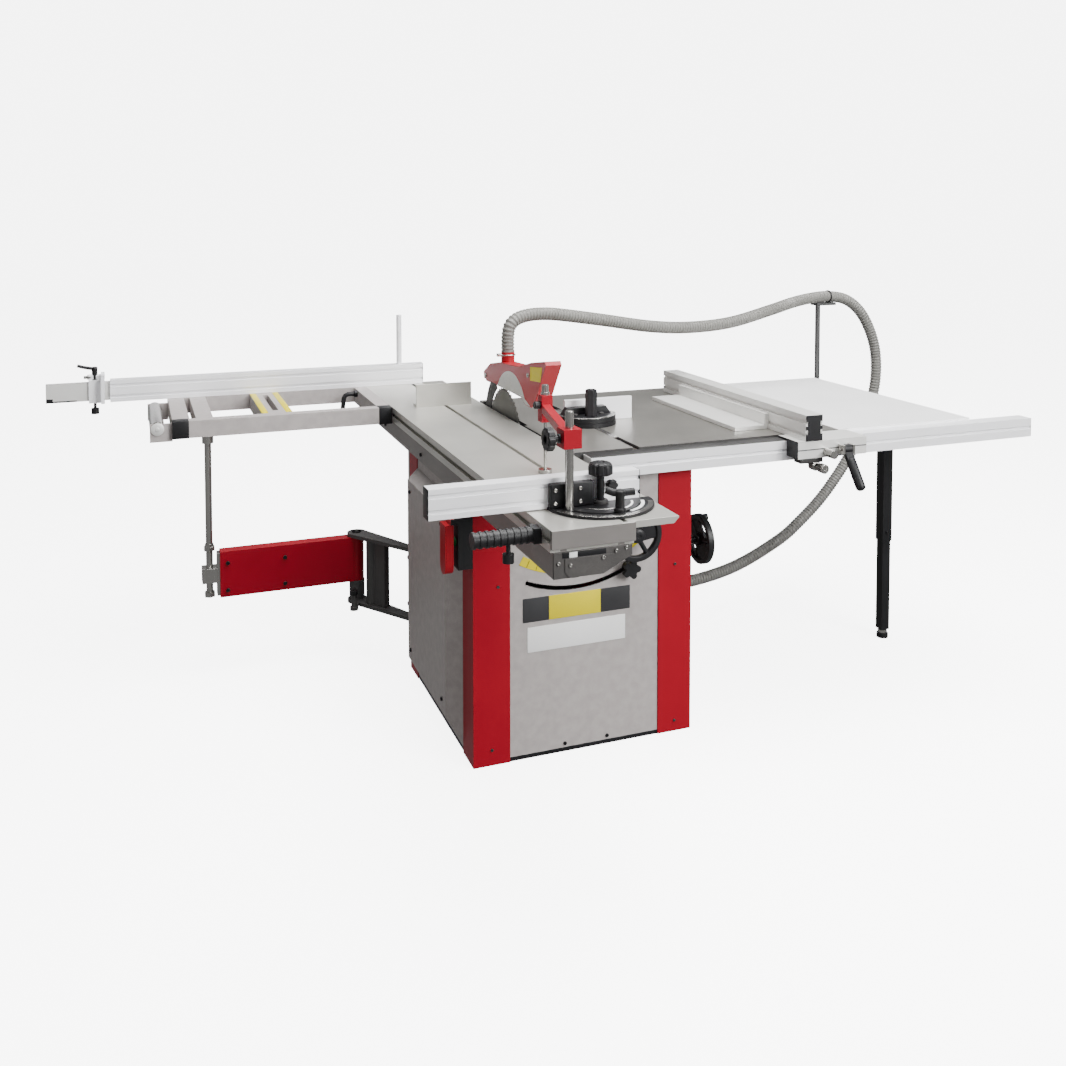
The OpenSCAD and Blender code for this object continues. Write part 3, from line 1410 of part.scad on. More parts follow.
// Blade guard: a hood over the blade with a spigot for the hose, clamped to the knife
guard_w = 50;
guard_wall = 3;
guard_len = 600;
guard_h = 157;
guard_front = 444;
guard_up = 82;
guard_y0 = arbor_y - guard_front;
guard_z0 = table_h + guard_up;
guard_shares = [[0.993, 0.127], [1, 0.274], [0.877, 0.51], [0.7, 0.63], [0.527, 0.662], [0.388, 0.707],
    [0.21, 0.879], [0.017, 1], [0, 0.93], [0.143, 0.191], [0.21, 0], [0.293, 0], [0.36, 0.102]];
guard_shape = [for (p = guard_shares) [guard_y0 + p[0] * guard_len, guard_z0 + p[1] * guard_h]];
mouth_shares = [0.2, 0.985, 0.25];
spigot_ahead = 28;
spigot_y = arbor_y - spigot_ahead;
spigot_base = guard_z0 + guard_h * guard_shares[3][1] - 2 * guard_wall;
spigot_top = hose_route[0][2] - hose_gap;
lug_back = 95;
lug_w = 40;
lug_h_in = 9;
module blade_guard() {
    x0 = blade_x - guard_w / 2;
    x1 = blade_x + guard_w / 2;
    lug_y = arbor_y + lug_back;
    lug_z = arbor_z + blade_r + knife_gap;
    color(red) {
        difference() {
            union() {
                along_x(x0, x1) polygon(guard_shape);
                rod_z(hose_d / 2, spigot_base, spigot_top, blade_x, spigot_y);
            }
            along_x(x0 + guard_wall, x1 - guard_wall) offset(delta = -guard_wall) polygon(guard_shape);
            block([x0 + guard_wall, guard_y0 + mouth_shares[0] * guard_len, guard_z0 - over],
                [x1 - guard_wall, guard_y0 + mouth_shares[1] * guard_len,
                    guard_z0 + mouth_shares[2] * guard_h]);
            rod_z(hose_bore / 2, spigot_base - 2 * guard_wall, spigot_top + over, blade_x, spigot_y);
        }
        for (x = [[x0 + over, blade_x - knife_t / 2], [blade_x + knife_t / 2, x1 - over]])
            block([x[0], lug_y, lug_z], [x[1], lug_y + lug_w, lug_z + lug_h_in]);
    }
}

// Hose support
rod_side = 20;
rod_behind = 10;
rod_at_x = ext_x1 + rod_side;
rod_at_y = table_back + rod_behind;
hook_w = 35;
hook_len = 80;
hook_t = 10;
hook_room = 3;
hook_z = hose_route[hook_point][2] - hose_d / 2 - hook_room;
bracket_drop = 38;
bracket_z0 = table_h - bracket_drop;
bracket_z1 = table_h - column_r;
bracket_d = 40;
module hose_support() {
    color(steel) {
        rod_z(column_r, bracket_z0, hook_z, rod_at_x, rod_at_y);
        block([ext_x1, rod_at_y - bracket_d, bracket_z0],
            [rod_at_x + column_r, rod_at_y + column_r, bracket_z1]);
        block([rod_at_x - column_r, rod_at_y - column_r, hook_z - hook_t],
            [rod_at_x + hook_len, rod_at_y + hook_w, hook_z]);
    }
}
// Points of a smooth curve through the route, spaced by the route's own points
hose_n = len(hose_route);
function route(i) = hose_route[max(0, min(hose_n - 1, i))];
function spline(t) = let(i = min(hose_n - 2, floor(t)), u = t - i, a = route(i - 1), b = route(i),
    c = route(i + 1), d = route(i + 2)) 0.5 * (2 * b + (c - a) * u + (2 * a - 5 * b + 4 * c - d) * u * u
    + (3 * b - a - 3 * c + d) * u * u * u);
fine = 8;
fine_pts = [for (k = [0:(hose_n - 1) * fine]) spline(k / fine)];
function run_length(pts, i = 0, sum = 0) = i >= len(pts) - 1 ? [sum] :
    concat([sum], run_length(pts, i + 1, sum + norm(pts[i + 1] - pts[i])));
hose_runs = run_length(fine_pts);
hose_len = hose_runs[len(hose_runs) - 1];
function seek(s, lo, hi) = hi - lo <= 1 ? lo : let(mid = floor((lo + hi) / 2))
    hose_runs[mid] <= s ? seek(s, mid, hi) : seek(s, lo, mid);
function along(s) = let(i = seek(s, 0, len(fine_pts) - 1),
    u = (s - hose_runs[i]) / (hose_runs[i + 1] - hose_runs[i]))
    fine_pts[i] + (fine_pts[i + 1] - fine_pts[i]) * u;
function unit(v) = v / norm(v);
function heading(s) = let(h = hose_len / hose_ribs / fine)
    unit(along(min(hose_len, s + h)) - along(max(0, s - h)));
// A ring's points about the hose's line, with its sides kept from twisting
hose_sides = 8;
hose_lean = [0, 1, 0.02];
function ring(s, r) = let(t = heading(s), side = unit(cross(t, hose_lean)), up = cross(side, t), c = along(s))
    [for (k = [0:hose_sides - 1]) c + r * (cos(k * 360 / hose_sides) * side
        + sin(k * 360 / hose_sides) * up)];
rib_depth = 3;
bore_rings = 60;
module suction_hose() {
    rings = 2 * hose_ribs + 1;
    outer = [for (i = [0:rings - 1]) each ring(hose_len * i / (rings - 1),
        hose_d / 2 - (i % 2 == 0 || i == rings - 1 ? 0 : rib_depth))];
    inner = [for (i = [0:bore_rings]) each ring(hose_len * i / bore_rings, hose_bore / 2)];
    base = len(outer);
    m = hose_sides;
    outer_faces = [for (i = [0:rings - 2], k = [0:m - 1]) each
        [[i * m + k, i * m + (k + 1) % m, (i + 1) * m + k],
        [i * m + (k + 1) % m, (i + 1) * m + (k + 1) % m, (i + 1) * m + k]]];
    inner_faces = [for (i = [0:bore_rings - 1], k = [0:m - 1]) each
        [[base + i * m + k, base + (i + 1) * m + k, base + i * m + (k + 1) % m],
        [base + i * m + (k + 1) % m, base + (i + 1) * m + k, base + (i + 1) * m + (k + 1) % m]]];
    last = base - m;
    inner_last = base + bore_rings * m;
    end_faces = [for (k = [0:m - 1]) each [[k, base + k, (k + 1) % m],
        [(k + 1) % m, base + k, base + (k + 1) % m],
        [last + k, last + (k + 1) % m, inner_last + k],
        [last + (k + 1) % m, inner_last + (k + 1) % m, inner_last + k]]];
    color(hose_grey) polyhedron(concat(outer, inner), concat(outer_faces, inner_faces, end_faces));
}
echo(hose_length_mm = hose_len);

base_pan();
corner_posts();
front_panel();
side_panels();
rear_panel();
left_cover();
dust_hood();
main_table();
side_table();
extension_table();
front_rail();
leg_upper();
leg_lower();
guide_beam();
switch_box();
stop_paddle();
start_button();
hose_support();
suction_hose();
arm_bracket();
swing_arm();
arm_extension();
trunnion_brackets();
sliding_table();
table_end_plates();
push_handle();
stop_plate();
outrigger_beams();
outrigger_bars();
support_rod();
outrigger_roller();
clamp_lever();
protractor();
front_fence();
fence_column();
clamp_arm();
clamp_spindle();
rear_fence();
fence_extension();
stop_carriage();
flip_stop();
rip_carriage();
rip_fence();
aux_fence();
rip_lever();
mitre_bar();
mitre_head();
cradle();
arbor_carriage();
arbor_spindle();
saw_blade();
blade_flange();
motor();
motor_pulley();
drive_belt();
height_wheel();
riving_knife();
blade_guard();
tilt_wheel();
lock_knob();
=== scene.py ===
# %% [markdown]
# A sliding table saw, dressed for a studio picture.
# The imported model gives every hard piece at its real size. This lesson adds the camera, the light,
# the finishes, the suction hose and the small fittings that make a machine look used and whole.

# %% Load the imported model
import math
import bpy
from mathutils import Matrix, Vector


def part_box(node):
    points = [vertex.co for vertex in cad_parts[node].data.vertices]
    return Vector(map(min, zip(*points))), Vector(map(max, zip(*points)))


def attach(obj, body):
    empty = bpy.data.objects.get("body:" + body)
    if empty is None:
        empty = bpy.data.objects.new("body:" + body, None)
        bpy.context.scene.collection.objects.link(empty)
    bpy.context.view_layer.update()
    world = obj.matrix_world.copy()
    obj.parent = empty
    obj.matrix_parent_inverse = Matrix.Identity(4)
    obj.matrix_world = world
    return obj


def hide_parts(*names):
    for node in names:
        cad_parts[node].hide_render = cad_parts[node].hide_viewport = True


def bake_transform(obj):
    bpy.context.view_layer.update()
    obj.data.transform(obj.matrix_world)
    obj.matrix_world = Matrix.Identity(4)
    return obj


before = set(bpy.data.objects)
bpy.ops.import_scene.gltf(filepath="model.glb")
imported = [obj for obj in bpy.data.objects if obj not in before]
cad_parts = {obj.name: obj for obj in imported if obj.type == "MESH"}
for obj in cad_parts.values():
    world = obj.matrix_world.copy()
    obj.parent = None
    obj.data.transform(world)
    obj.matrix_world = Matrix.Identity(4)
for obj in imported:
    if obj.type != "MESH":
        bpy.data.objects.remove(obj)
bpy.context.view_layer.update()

# %% [markdown]
# The camera comes first, because every later choice is judged through it.
# Its place was found by fitting straight edges of the machine, and the lens shift stands for a picture
# that was cropped off-centre, so upright lines stay upright.

# %% Camera
PHOTO = 1066
FOCAL_PX = 1097.0
CENTRE_PX = (545.9, 253.6)
CAMERA_PLACE = (-1.199, -3.175, 1.5633)
CAMERA_YAW = 0.3649
CAMERA_PITCH = 0.049

camera_data = bpy.data.cameras.new("camera")
camera_data.sensor_fit = "HORIZONTAL"
camera_data.lens = FOCAL_PX / PHOTO * camera_data.sensor_width
camera_data.shift_x = (PHOTO / 2 - CENTRE_PX[0]) / PHOTO
camera_data.shift_y = (CENTRE_PX[1] - PHOTO / 2) / PHOTO
camera = bpy.data.objects.new("camera", camera_data)
camera.location = CAMERA_PLACE
camera.rotation_euler = (math.pi / 2 - CAMERA_PITCH, 0, -CAMERA_YAW)
bpy.context.scene.collection.objects.link(camera)
bpy.context.scene.camera = camera
print("camera lens", round(camera_data.lens, 2), "mm")

# %% [markdown]
# Every finish starts as a Principled shader with a little of everything real paint or metal has:
# a slow change of colour, a finer change of gloss, a bump for grain, and edges that catch the light.
# The Bevel node rounds the shading of sharp edges, so a sheet edge shows a thin bright line.

# %% Helper for finishes
GLOSS_SPREAD = 0.08


def finish(name, colour, rough, metal=0.0, mottle=0.06, mottle_scale=6.0, grain=900.0, depth=0.0002,
        stretch=(1, 1, 1), edge=0.0012, shine=0.5):
    """A procedural finish: colour, gloss and grain vary with the place on the object."""
    made = bpy.data.materials.new(name)
    made.use_nodes = True
    nodes, links = made.node_tree.nodes, made.node_tree.links
    shader = nodes["Principled BSDF"]

    def add(kind, **inputs):
        node = nodes.new("ShaderNode" + kind)
        for key, value in inputs.items():
            node.inputs[key.replace("_", " ")].default_value = value
        return node

    def join(start, output, end, socket):
        links.new(start.outputs[output], end.inputs[socket])

    shader.inputs["Metallic"].default_value = metal
    shader.inputs["Specular IOR Level"].default_value = shine
    place = add("TexCoord")
    mapping = add("Mapping", Scale=stretch)
    slow = add("TexNoise", Scale=mottle_scale, Detail=4)
    fine = add("TexNoise", Scale=grain, Detail=3)
    join(place, "Object", mapping, "Vector")
    join(place, "Object", slow, "Vector")
    join(mapping, "Vector", fine, "Vector")
    half = add("Math")
    half.operation = "MULTIPLY_ADD"
    half.inputs[1].default_value = 0.5
    both = add("Math")
    both.operation = "ADD"
    both.inputs[1].default_value = -0.25
    ramp = add("ValToRGB")
    for stop, position, share in zip(ramp.color_ramp.elements, (0.3, 0.7), (1 - mottle, 1 + mottle)):
        stop.position = position
        stop.color = (*[min(1.0, max(0.0, c * share)) for c in colour], 1)
    join(fine, "Fac", half, 0)
    join(slow, "Fac", half, 2)
    join(half, "Value", both, 0)
    join(both, "Value", ramp, "Fac")
    join(ramp, "Color", shader, "Base Color")
    gloss = add("MapRange", To_Min=max(0.02, rough - GLOSS_SPREAD), To_Max=min(1.0, rough + GLOSS_SPREAD))
    join(fine, "Fac", gloss, "Value")
    join(gloss, "Result", shader, "Roughness")
    rounded = add("Bevel", Radius=edge)
    rounded.samples = 4
    bump = add("Bump", Distance=depth, Strength=0.5)
    join(fine, "Fac", bump, "Height")
    join(rounded, "Normal", bump, "Normal")
    join(bump, "Normal", shader, "Normal")
    return made


# %% [markdown]
# The machine has few finishes: red and grey paint, ground iron, anodised aluminium, bright steel,
# black plastic and the hose's grey vinyl. Grinding marks and extrusion lines come from
# stretching the grain along the way that the tool moved.

# %% Paints
red_paint = finish("red_powder_paint", (0.29, 0.003, 0.013), 0.4, grain=700, depth=0.0003, shine=0.2)
grey_paint = finish("grey_hammer_paint", (0.375, 0.345, 0.335), 0.5, mottle=0.08, mottle_scale=40,
    grain=420, depth=0.0005, shine=0.35)
pale_paint = finish("pale_table_paint", (0.86, 0.86, 0.86), 0.4, mottle=0.03, grain=600)
black_paint = finish("black_stove_paint", (0.008, 0.008, 0.009), 0.45, mottle=0.3, grain=500, depth=0.0004,
    shine=0.25)
yellow_paint = finish("yellow_paint", (0.66, 0.55, 0.004), 0.45, grain=400, shine=0.3)
blue_grey_paint = finish("motor_enamel", (0.05, 0.065, 0.08), 0.45, mottle=0.1, grain=500)
white_label = finish("blank_label", (0.84, 0.84, 0.83), 0.35, mottle=0.02, grain=300, depth=0.00005)
# Dark ink for the print on the plates, also used as painted shade for the groove on the rip carriage.
ink_and_groove_shade = finish("ink_and_groove_shade", (0.035, 0.035, 0.037), 0.4, mottle=0.15, grain=500, depth=0.0001, shine=0.3)
satin_black = finish("satin_black_paint", (0.062, 0.06, 0.059), 0.48, mottle=0.2, grain=500, depth=0.0004,
    shine=0.3)
print("paints mixed")

# %% [markdown]
# Metal shows its working: ground tables have fine lines along the cut, and extrusions have lines along
# their length. Castings are left rough and dull.

# %% Metals
ground_iron = finish("ground_iron", (0.27, 0.26, 0.24), 0.33, metal=0.7, mottle=0.14, mottle_scale=4,
    grain=260, depth=0.00015, stretch=(1, 0.04, 1))
dark_iron = finish("dark_iron", (0.045, 0.044, 0.043), 0.55, metal=0.2, mottle=0.25, grain=250,
    depth=0.0006, shine=0.3)
cast_grey = finish("cast_grey", (0.07, 0.066, 0.063), 0.5, metal=0.35, mottle=0.18, mottle_scale=14,
    grain=320, depth=0.0006)
aluminium = finish("anodised_aluminium", (0.74, 0.735, 0.71), 0.38, metal=0.35, mottle=0.04, grain=600,
    depth=0.0001)
rail_aluminium = finish("extruded_along_x", (0.91, 0.91, 0.93), 0.36, metal=0.15, mottle=0.03, grain=700,
    depth=0.00012, stretch=(0.01, 1, 1))
slide_aluminium = finish("extruded_along_y", (0.56, 0.55, 0.51), 0.34, metal=0.6, mottle=0.07, grain=700,
    depth=0.00012, stretch=(1, 0.01, 1))
beam_metal = finish("beam_metal", (0.23, 0.214, 0.204), 0.4, metal=0.5, mottle=0.1, grain=700,
    depth=0.00012, stretch=(1, 0.01, 1))
bright_steel = finish("bright_steel", (0.42, 0.41, 0.39), 0.24, metal=0.95, mottle=0.08, depth=0.00008)
wire_steel = finish("wire_steel", (0.1, 0.1, 0.1), 0.35, metal=0.7, mottle=0.1, grain=600, depth=0.00008)
blade_steel = finish("blade_steel", (0.092, 0.09, 0.085), 0.34, metal=0.8, mottle=0.15, grain=300,
    depth=0.0001)
print("metals mixed")

# %% [markdown]
# Moulded pieces are black, red or green with a soft sheen, and rubber is duller than all of them.

# %% Plastics and rubber
black_plastic = finish("moulded_black", (0.01, 0.01, 0.011), 0.42, mottle=0.25, depth=0.0003, shine=0.3)
red_plastic = finish("moulded_red", (0.33, 0.004, 0.012), 0.34, grain=500, shine=0.3)
green_plastic = finish("moulded_green", (0.012, 0.14, 0.035), 0.36, grain=500, shine=0.3)
hose_vinyl = finish("hose_vinyl", (0.165, 0.162, 0.15), 0.46, mottle=0.1, grain=500, edge=0.0004, shine=0.4)
belt_rubber = finish("belt_rubber", (0.01, 0.01, 0.01), 0.7, mottle=0.2, grain=400, shine=0.2)
pale_shield = finish("pale_shield", (0.52, 0.52, 0.5), 0.3, mottle=0.04, grain=200, depth=0.00005)
print("plastics mixed")

# %% [markdown]
# A CAD node keeps its shape, and only its material slots change. Some nodes are two finishes on one
# casting, such as a table that is ground on top and painted on its sides, so a rule on a face's
# place or direction picks the finish face by face.

# %% Helper that paints a node
def paint(node, base, *rules):
    """Gives a node its base finish, and every face that a rule accepts the rule's finish."""
    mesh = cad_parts[node].data
    mesh.materials.clear()
    mesh.materials.append(base)
    for other, _ in rules:
        mesh.materials.append(other)
    for face in mesh.polygons:
        face.material_index = 0
        for number, (_, accepts) in enumerate(rules, start=1):
            if accepts(face.center, face.normal):
                face.material_index = number


def paint_all(base, *nodes):
    for node in nodes:
        paint(node, base)


def faces_up(place, normal):
    return normal.z > 0.9


# %% [markdown]
# The cabinet is folded sheet in red and grey. The tables are cast iron, and only their tops are ground.

# %% Paint the cabinet and the tables
paint_all(red_paint, "corner_posts", "swing_arm")
paint_all(grey_paint, "front_panel", "side_panels", "rear_panel", "left_cover", "dust_hood")
paint_all(grey_paint, "outrigger_beams", "outrigger_bars")
paint_all(black_paint, "base_pan", "leg_upper", "leg_lower")
paint("table_end_plates", beam_metal, (slide_aluminium, faces_up))
paint("arm_bracket", satin_black)
paint("main_table", dark_iron, (ground_iron, faces_up))
paint("side_table", dark_iron, (ground_iron, faces_up))
paint("extension_table", pale_paint)
paint("front_rail", rail_aluminium)
paint("guide_beam", beam_metal)
paint("sliding_table", slide_aluminium)
print("cabinet and tables painted")

# %% [markdown]
# Fences are aluminium extrusions with black plastic fittings. Where one node has two finishes, a named
# limit says where the second one starts.

# %% Paint the fences and their fittings
clamp_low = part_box("clamp_arm")[0]
column_low, column_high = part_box("fence_column")
gauge_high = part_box("mitre_head")[1]
CARRIAGE_END_X, CARRIAGE_BRIGHT_Y, STOP_FOOT_Z = 0.64, -0.4565, 0.848
CLAMP_BLACK_OUT, GAUGE_FENCE_T, GAUGE_FENCE_Z = 0.013, 0.0145, 0.851
paint_all(rail_aluminium, "front_fence", "rear_fence", "flip_stop")
paint("stop_plate", slide_aluminium)
paint_all(aluminium, "rip_fence", "aux_fence", "fence_extension")
paint("rip_carriage", aluminium, (black_plastic, lambda p, n: n.x < -0.9 and p.x < CARRIAGE_END_X),
    (bright_steel, lambda p, n: p.y < CARRIAGE_BRIGHT_Y))
paint("stop_carriage", rail_aluminium, (black_plastic, lambda p, n: p.z < STOP_FOOT_Z))
paint_all(bright_steel, "support_rod", "fence_column", "clamp_spindle", "arm_extension", "mitre_bar")
paint("outrigger_roller", bright_steel)
paint("hose_support", wire_steel)
paint_all(black_plastic, "push_handle", "clamp_lever", "rip_lever", "lock_knob", "switch_box")
paint_all(black_plastic, "height_wheel", "tilt_wheel")
paint("protractor", black_paint)
paint("clamp_arm", red_paint, (black_plastic, lambda p, n: p.x < column_low.x - CLAMP_BLACK_OUT))
paint("mitre_head", black_paint, (rail_aluminium, lambda p,
    n: p.y > gauge_high.y - GAUGE_FENCE_T and p.z > GAUGE_FENCE_Z))
print("fences painted")

# %% [markdown]
# The saw unit is iron and steel inside the cabinet, with a red guard above the table. The switch has a
# red paddle over a green button.

# %% Paint the saw unit and the switch
paint_all(dark_iron, "trunnion_brackets", "cradle", "arbor_carriage")
paint_all(bright_steel, "arbor_spindle", "blade_flange", "motor_pulley")
paint("saw_blade", blade_steel)
paint("riving_knife", black_paint)
paint("motor", blue_grey_paint)
paint("drive_belt", belt_rubber)
paint_all(red_plastic, "blade_guard", "stop_paddle")
paint("start_button", green_plastic)
paint("suction_hose", hose_vinyl)
print("saw unit painted")

# %% [markdown]
# The suction hose is a corrugated vinyl tube. Its line is a smooth curve through listed points: up
# from the guard, across to a hook on a rod, and down behind the tables to the dust hood.
# One corrugation is modelled, and the Array and Curve modifiers repeat it along that line, as one
# would by hand. It comes in three lengths: a cuff above the guard, a run to the hook, and a drop
# behind the tables, which is still.

# %% The hose's line
HOSE_D = 0.044
RIB_PITCH = 0.012
RIB_DEPTH = 0.0022
CURVE_STEPS = 8
HOSE_ROUTE = [(-36, 220, 1065), (-36, 220, 1110), (-30, 221, 1145), (-8, 226, 1168), (35, 236, 1180),
              (95, 249, 1182), (165, 265, 1175), (330, 301, 1148), (550, 349, 1110), (730, 389, 1095),
              (925, 432, 1101), (1125, 477, 1135), (1240, 502, 1158), (1340, 524, 1171), (1440, 545, 1174),
              (1530, 550, 1158), (1600, 550, 1108), (1650, 550, 1030), (1680, 550, 940), (1685, 550, 840),
              (1668, 550, 745), (1625, 548, 630), (1570, 544, 540), (1500, 538, 450), (1405, 528, 355),
              (1300, 519, 275), (1200, 510, 215), (1010, 492, 145), (830, 470, 118), (650, 450, 118),
              (480, 436, 136), (360, 431, 148), (260, 430, 150), (200, 430, 150)]
route = [Vector(point) / 1000 for point in HOSE_ROUTE]


def smooth_line(points):
    """A Catmull-Rom curve through the points, as a dense list of points."""
    line = []
    for i in range(len(points) - 1):
        a, b = points[max(0, i - 1)], points[i]
        c, d = points[i + 1], points[min(len(points) - 1, i + 2)]
        for step in range(CURVE_STEPS):
            u = step / CURVE_STEPS
            line.append(0.5 * (2 * b + (c - a) * u + (2 * a - 5 * b + 4 * c - d) * u * u
                               + (3 * b - a - 3 * c + d) * u * u * u))
    return line + [points[-1]]


def line_length(line):
    return sum((b - a).length for a, b in zip(line, line[1:]))


hose_line = smooth_line(route)
print("hose length", round(line_length(hose_line), 3), "m")

# %% [markdown]
# A hose of this kind is moulded rib by rib, so one rib is drawn out from a circle. The ends of
# neighbouring ribs are merged, so that the tube is one skin.

# %% Corrugated tube along a line
def deselect():
    bpy.ops.object.select_all(action="DESELECT")


def apply_modifier(piece, kind, **settings):
    """Adds a modifier to the piece, sets it and applies it."""
    modifier = piece.modifiers.new(kind.title(), kind)
    for key, value in settings.items():
        setattr(modifier, key, value)
    bpy.context.view_layer.objects.active = piece
    bpy.ops.object.modifier_apply(modifier=modifier.name)


def guide_curve(name, line):
    """A poly curve through the line's points, for the Curve modifier to follow."""
    guide = bpy.data.curves.new(name, "CURVE")
    guide.dimensions = "3D"
    spline = guide.splines.new("POLY")
    spline.points.add(len(line) - 1)
    for point, place in zip(spline.points, line):
        point.co = (*place, 1)
    made = bpy.data.objects.new(name, guide)
    bpy.context.scene.collection.objects.link(made)
    return made


def corrugated(name, line, sides=28):
    """One corrugation, spun up from a circle, then repeated and bent along the line."""
    count = round(line_length(line) / RIB_PITCH)
    pitch = line_length(line) / count
    radius = HOSE_D / 2
    steps = [(0.3, 1), (0.45, 1 - RIB_DEPTH / radius), (0.85, 1 - RIB_DEPTH / radius), (1.0, 1)]
    deselect()
    bpy.ops.mesh.primitive_circle_add(vertices=sides, radius=radius, fill_type="NOTHING",
        location=(0, 0, 0), rotation=(0, math.pi / 2, 0))
    bpy.ops.object.transform_apply(rotation=True)
    tube = bpy.context.object
    tube.name = name
    bpy.ops.object.mode_set(mode="EDIT")
    bpy.ops.mesh.select_all(action="SELECT")
    along, size = 0, 1
    for share, grow in steps:
        bpy.ops.mesh.extrude_edges_move(TRANSFORM_OT_translate={"value": (pitch * (share - along), 0, 0)})
        bpy.ops.transform.resize(value=(1, grow / size, grow / size), center_override=(0, 0, 0))
        along, size = share, grow
    bpy.ops.object.mode_set(mode="OBJECT")
    apply_modifier(tube, "ARRAY", count=count, relative_offset_displace=(1, 0, 0), use_merge_vertices=True,
        merge_threshold=0.0002)
    guide = guide_curve(name + "_line", line)
    apply_modifier(tube, "CURVE", object=guide, deform_axis="POS_X")
    bpy.data.objects.remove(guide)
    bpy.ops.object.mode_set(mode="EDIT")
    bpy.ops.mesh.select_all(action="SELECT")
    bpy.ops.mesh.normals_make_consistent(inside=False)
    bpy.ops.object.mode_set(mode="OBJECT")
    bpy.ops.object.shade_smooth_by_angle(angle=math.radians(50))
    tube.data.materials.append(hose_vinyl)
    return tube


# %% [markdown]
# The line is cut at the end of the cuff and at the hook, and each length gets a tube of its own. The
# two long ones stand in for the imported hose, which is hidden.

# %% Hose and cuff
HOOK_POINT = 14
cuff_end, hook_step = CURVE_STEPS, HOOK_POINT * CURVE_STEPS
cuff_line = hose_line[:cuff_end + 1]
run_line = hose_line[cuff_end:hook_step + 1]
drop_line = hose_line[hook_step:]
cuff = corrugated("hose_cuff", cuff_line)
hose = corrugated("suction_hose_tube", run_line)
drop = corrugated("suction_hose_drop", drop_line)
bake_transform(cuff)
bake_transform(hose)
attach(drop, "frame")
for length, line, ends in ((hose, run_line, [cuff]), (drop, drop_line, [])):
    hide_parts("suction_hose")
print("hose has", len(hose.data.polygons), "faces")

# %% [markdown]
# The fittings are small pieces of a few kinds: rounded blocks, turned pieces, plates cut to an outline
# and bent rods. Each kind starts from one primitive or curve, so four short helpers make nearly all of
# them. The first helper here is the one that they all end with: it puts a piece's place into its mesh and
# names the body that it moves with.


def active(piece):
    deselect()
    piece.select_set(True)
    bpy.context.view_layer.objects.active = piece


def settle(piece, name, material, body, smooth=35):
    """Puts a piece's place into its mesh, turns its faces outwards, and gives it a finish and a body."""
    active(piece)
    bpy.ops.object.transform_apply(location=True, rotation=True, scale=True)
    bpy.ops.object.mode_set(mode="EDIT")
    bpy.ops.mesh.select_all(action="SELECT")
    bpy.ops.mesh.normals_make_consistent(inside=False)
    bpy.ops.object.mode_set(mode="OBJECT")
    bpy.ops.object.shade_smooth_by_angle(angle=math.radians(smooth))
    piece.name = name
    piece.data.materials.clear()
    piece.data.materials.append(material)
    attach(piece, body)
    return piece


def repeat(piece, shifts):
    """Copies of a seated piece, each with its own mesh, moved by the shifts."""
    base = piece.name
    for number, shift in enumerate(shifts, start=2):
        active(piece)
        bpy.ops.object.duplicate()
        twin = bpy.context.object
        twin.location = shift
        bpy.ops.object.transform_apply(location=True)
        twin.name = f"{base}_{number}"


# %% [markdown]
# A block is a cube with its edges rounded. A turned piece is a circle drawn out in steps, as a lathe
# would leave it, and a screw is a turned piece with a socket.

# %% Helpers for blocks and turned pieces
UP, FRONT, LEFT = (0, 0, 1), (0, -1, 0), (-1, 0, 0)
FLUTE_IN, END_EDGE = 0.86, 0.0008


def block(name, low, high, edge, material, body):
    """A block between two corners, with every edge rounded."""
    low, high = Vector(low), Vector(high)
    deselect()
    bpy.ops.mesh.primitive_cube_add(size=1, location=(low + high) / 2)
    piece = bpy.context.object
    piece.scale = high - low
    bpy.ops.object.transform_apply(location=True, scale=True)
    bpy.ops.object.mode_set(mode="EDIT")
    bpy.ops.mesh.select_all(action="SELECT")
    bpy.ops.mesh.bevel(offset=edge, segments=3, affect="EDGES")
    bpy.ops.object.mode_set(mode="OBJECT")
    return settle(piece, name, material, body)


def turned(name, place, towards, steps, material, body, sides=32, flutes=0):
    """A disc drawn out in steps of (place on the axis, radius) in mm. Flutes cut in some corners."""
    (at, radius), *rest = [(along / 1000, size / 1000) for along, size in steps]
    deselect()
    bpy.ops.mesh.primitive_circle_add(vertices=flutes * 4 or sides, radius=radius, fill_type="NGON",
        location=(0, 0, at))
    bpy.ops.object.transform_apply(location=True)
    piece = bpy.context.object
    bpy.ops.object.mode_set(mode="EDIT")
    if flutes:
        bpy.ops.mesh.select_all(action="DESELECT")
        bpy.ops.object.mode_set(mode="OBJECT")
        for corner in list(piece.data.vertices)[::4]:
            corner.select = True
        bpy.ops.object.mode_set(mode="EDIT")
        bpy.ops.transform.resize(value=(FLUTE_IN, FLUTE_IN, 1), center_override=(0, 0, at))
    bpy.ops.mesh.select_all(action="SELECT")
    for along, grown in rest:
        bpy.ops.mesh.extrude_region_move(TRANSFORM_OT_translate={"value": (0, 0, along - at)})
        bpy.ops.transform.resize(value=(grown / radius, grown / radius, 1), center_override=(0, 0, along))
        at, radius = along, grown
    bpy.ops.object.mode_set(mode="OBJECT")
    piece.location = place
    piece.rotation_euler = Vector(towards).to_track_quat("Z", "Y").to_euler()
    return settle(piece, name, material, body)


def screw(name, place, towards, radius, material, body):
    """A cap screw with a socket in its head, its radius in mm."""
    r = radius
    steps = [(0, r), (0.6 * r, r), (0.75 * r, 0.85 * r), (0.75 * r, 0.5 * r), (0.3 * r, 0.45 * r)]
    return turned(name, place, towards, steps, material, body, sides=18)


def screws(name, place, towards, radius, material, body, shifts):
    """A screw, and a copy of it at each of the shifts."""
    repeat(screw(name, place, towards, radius, material, body), shifts)


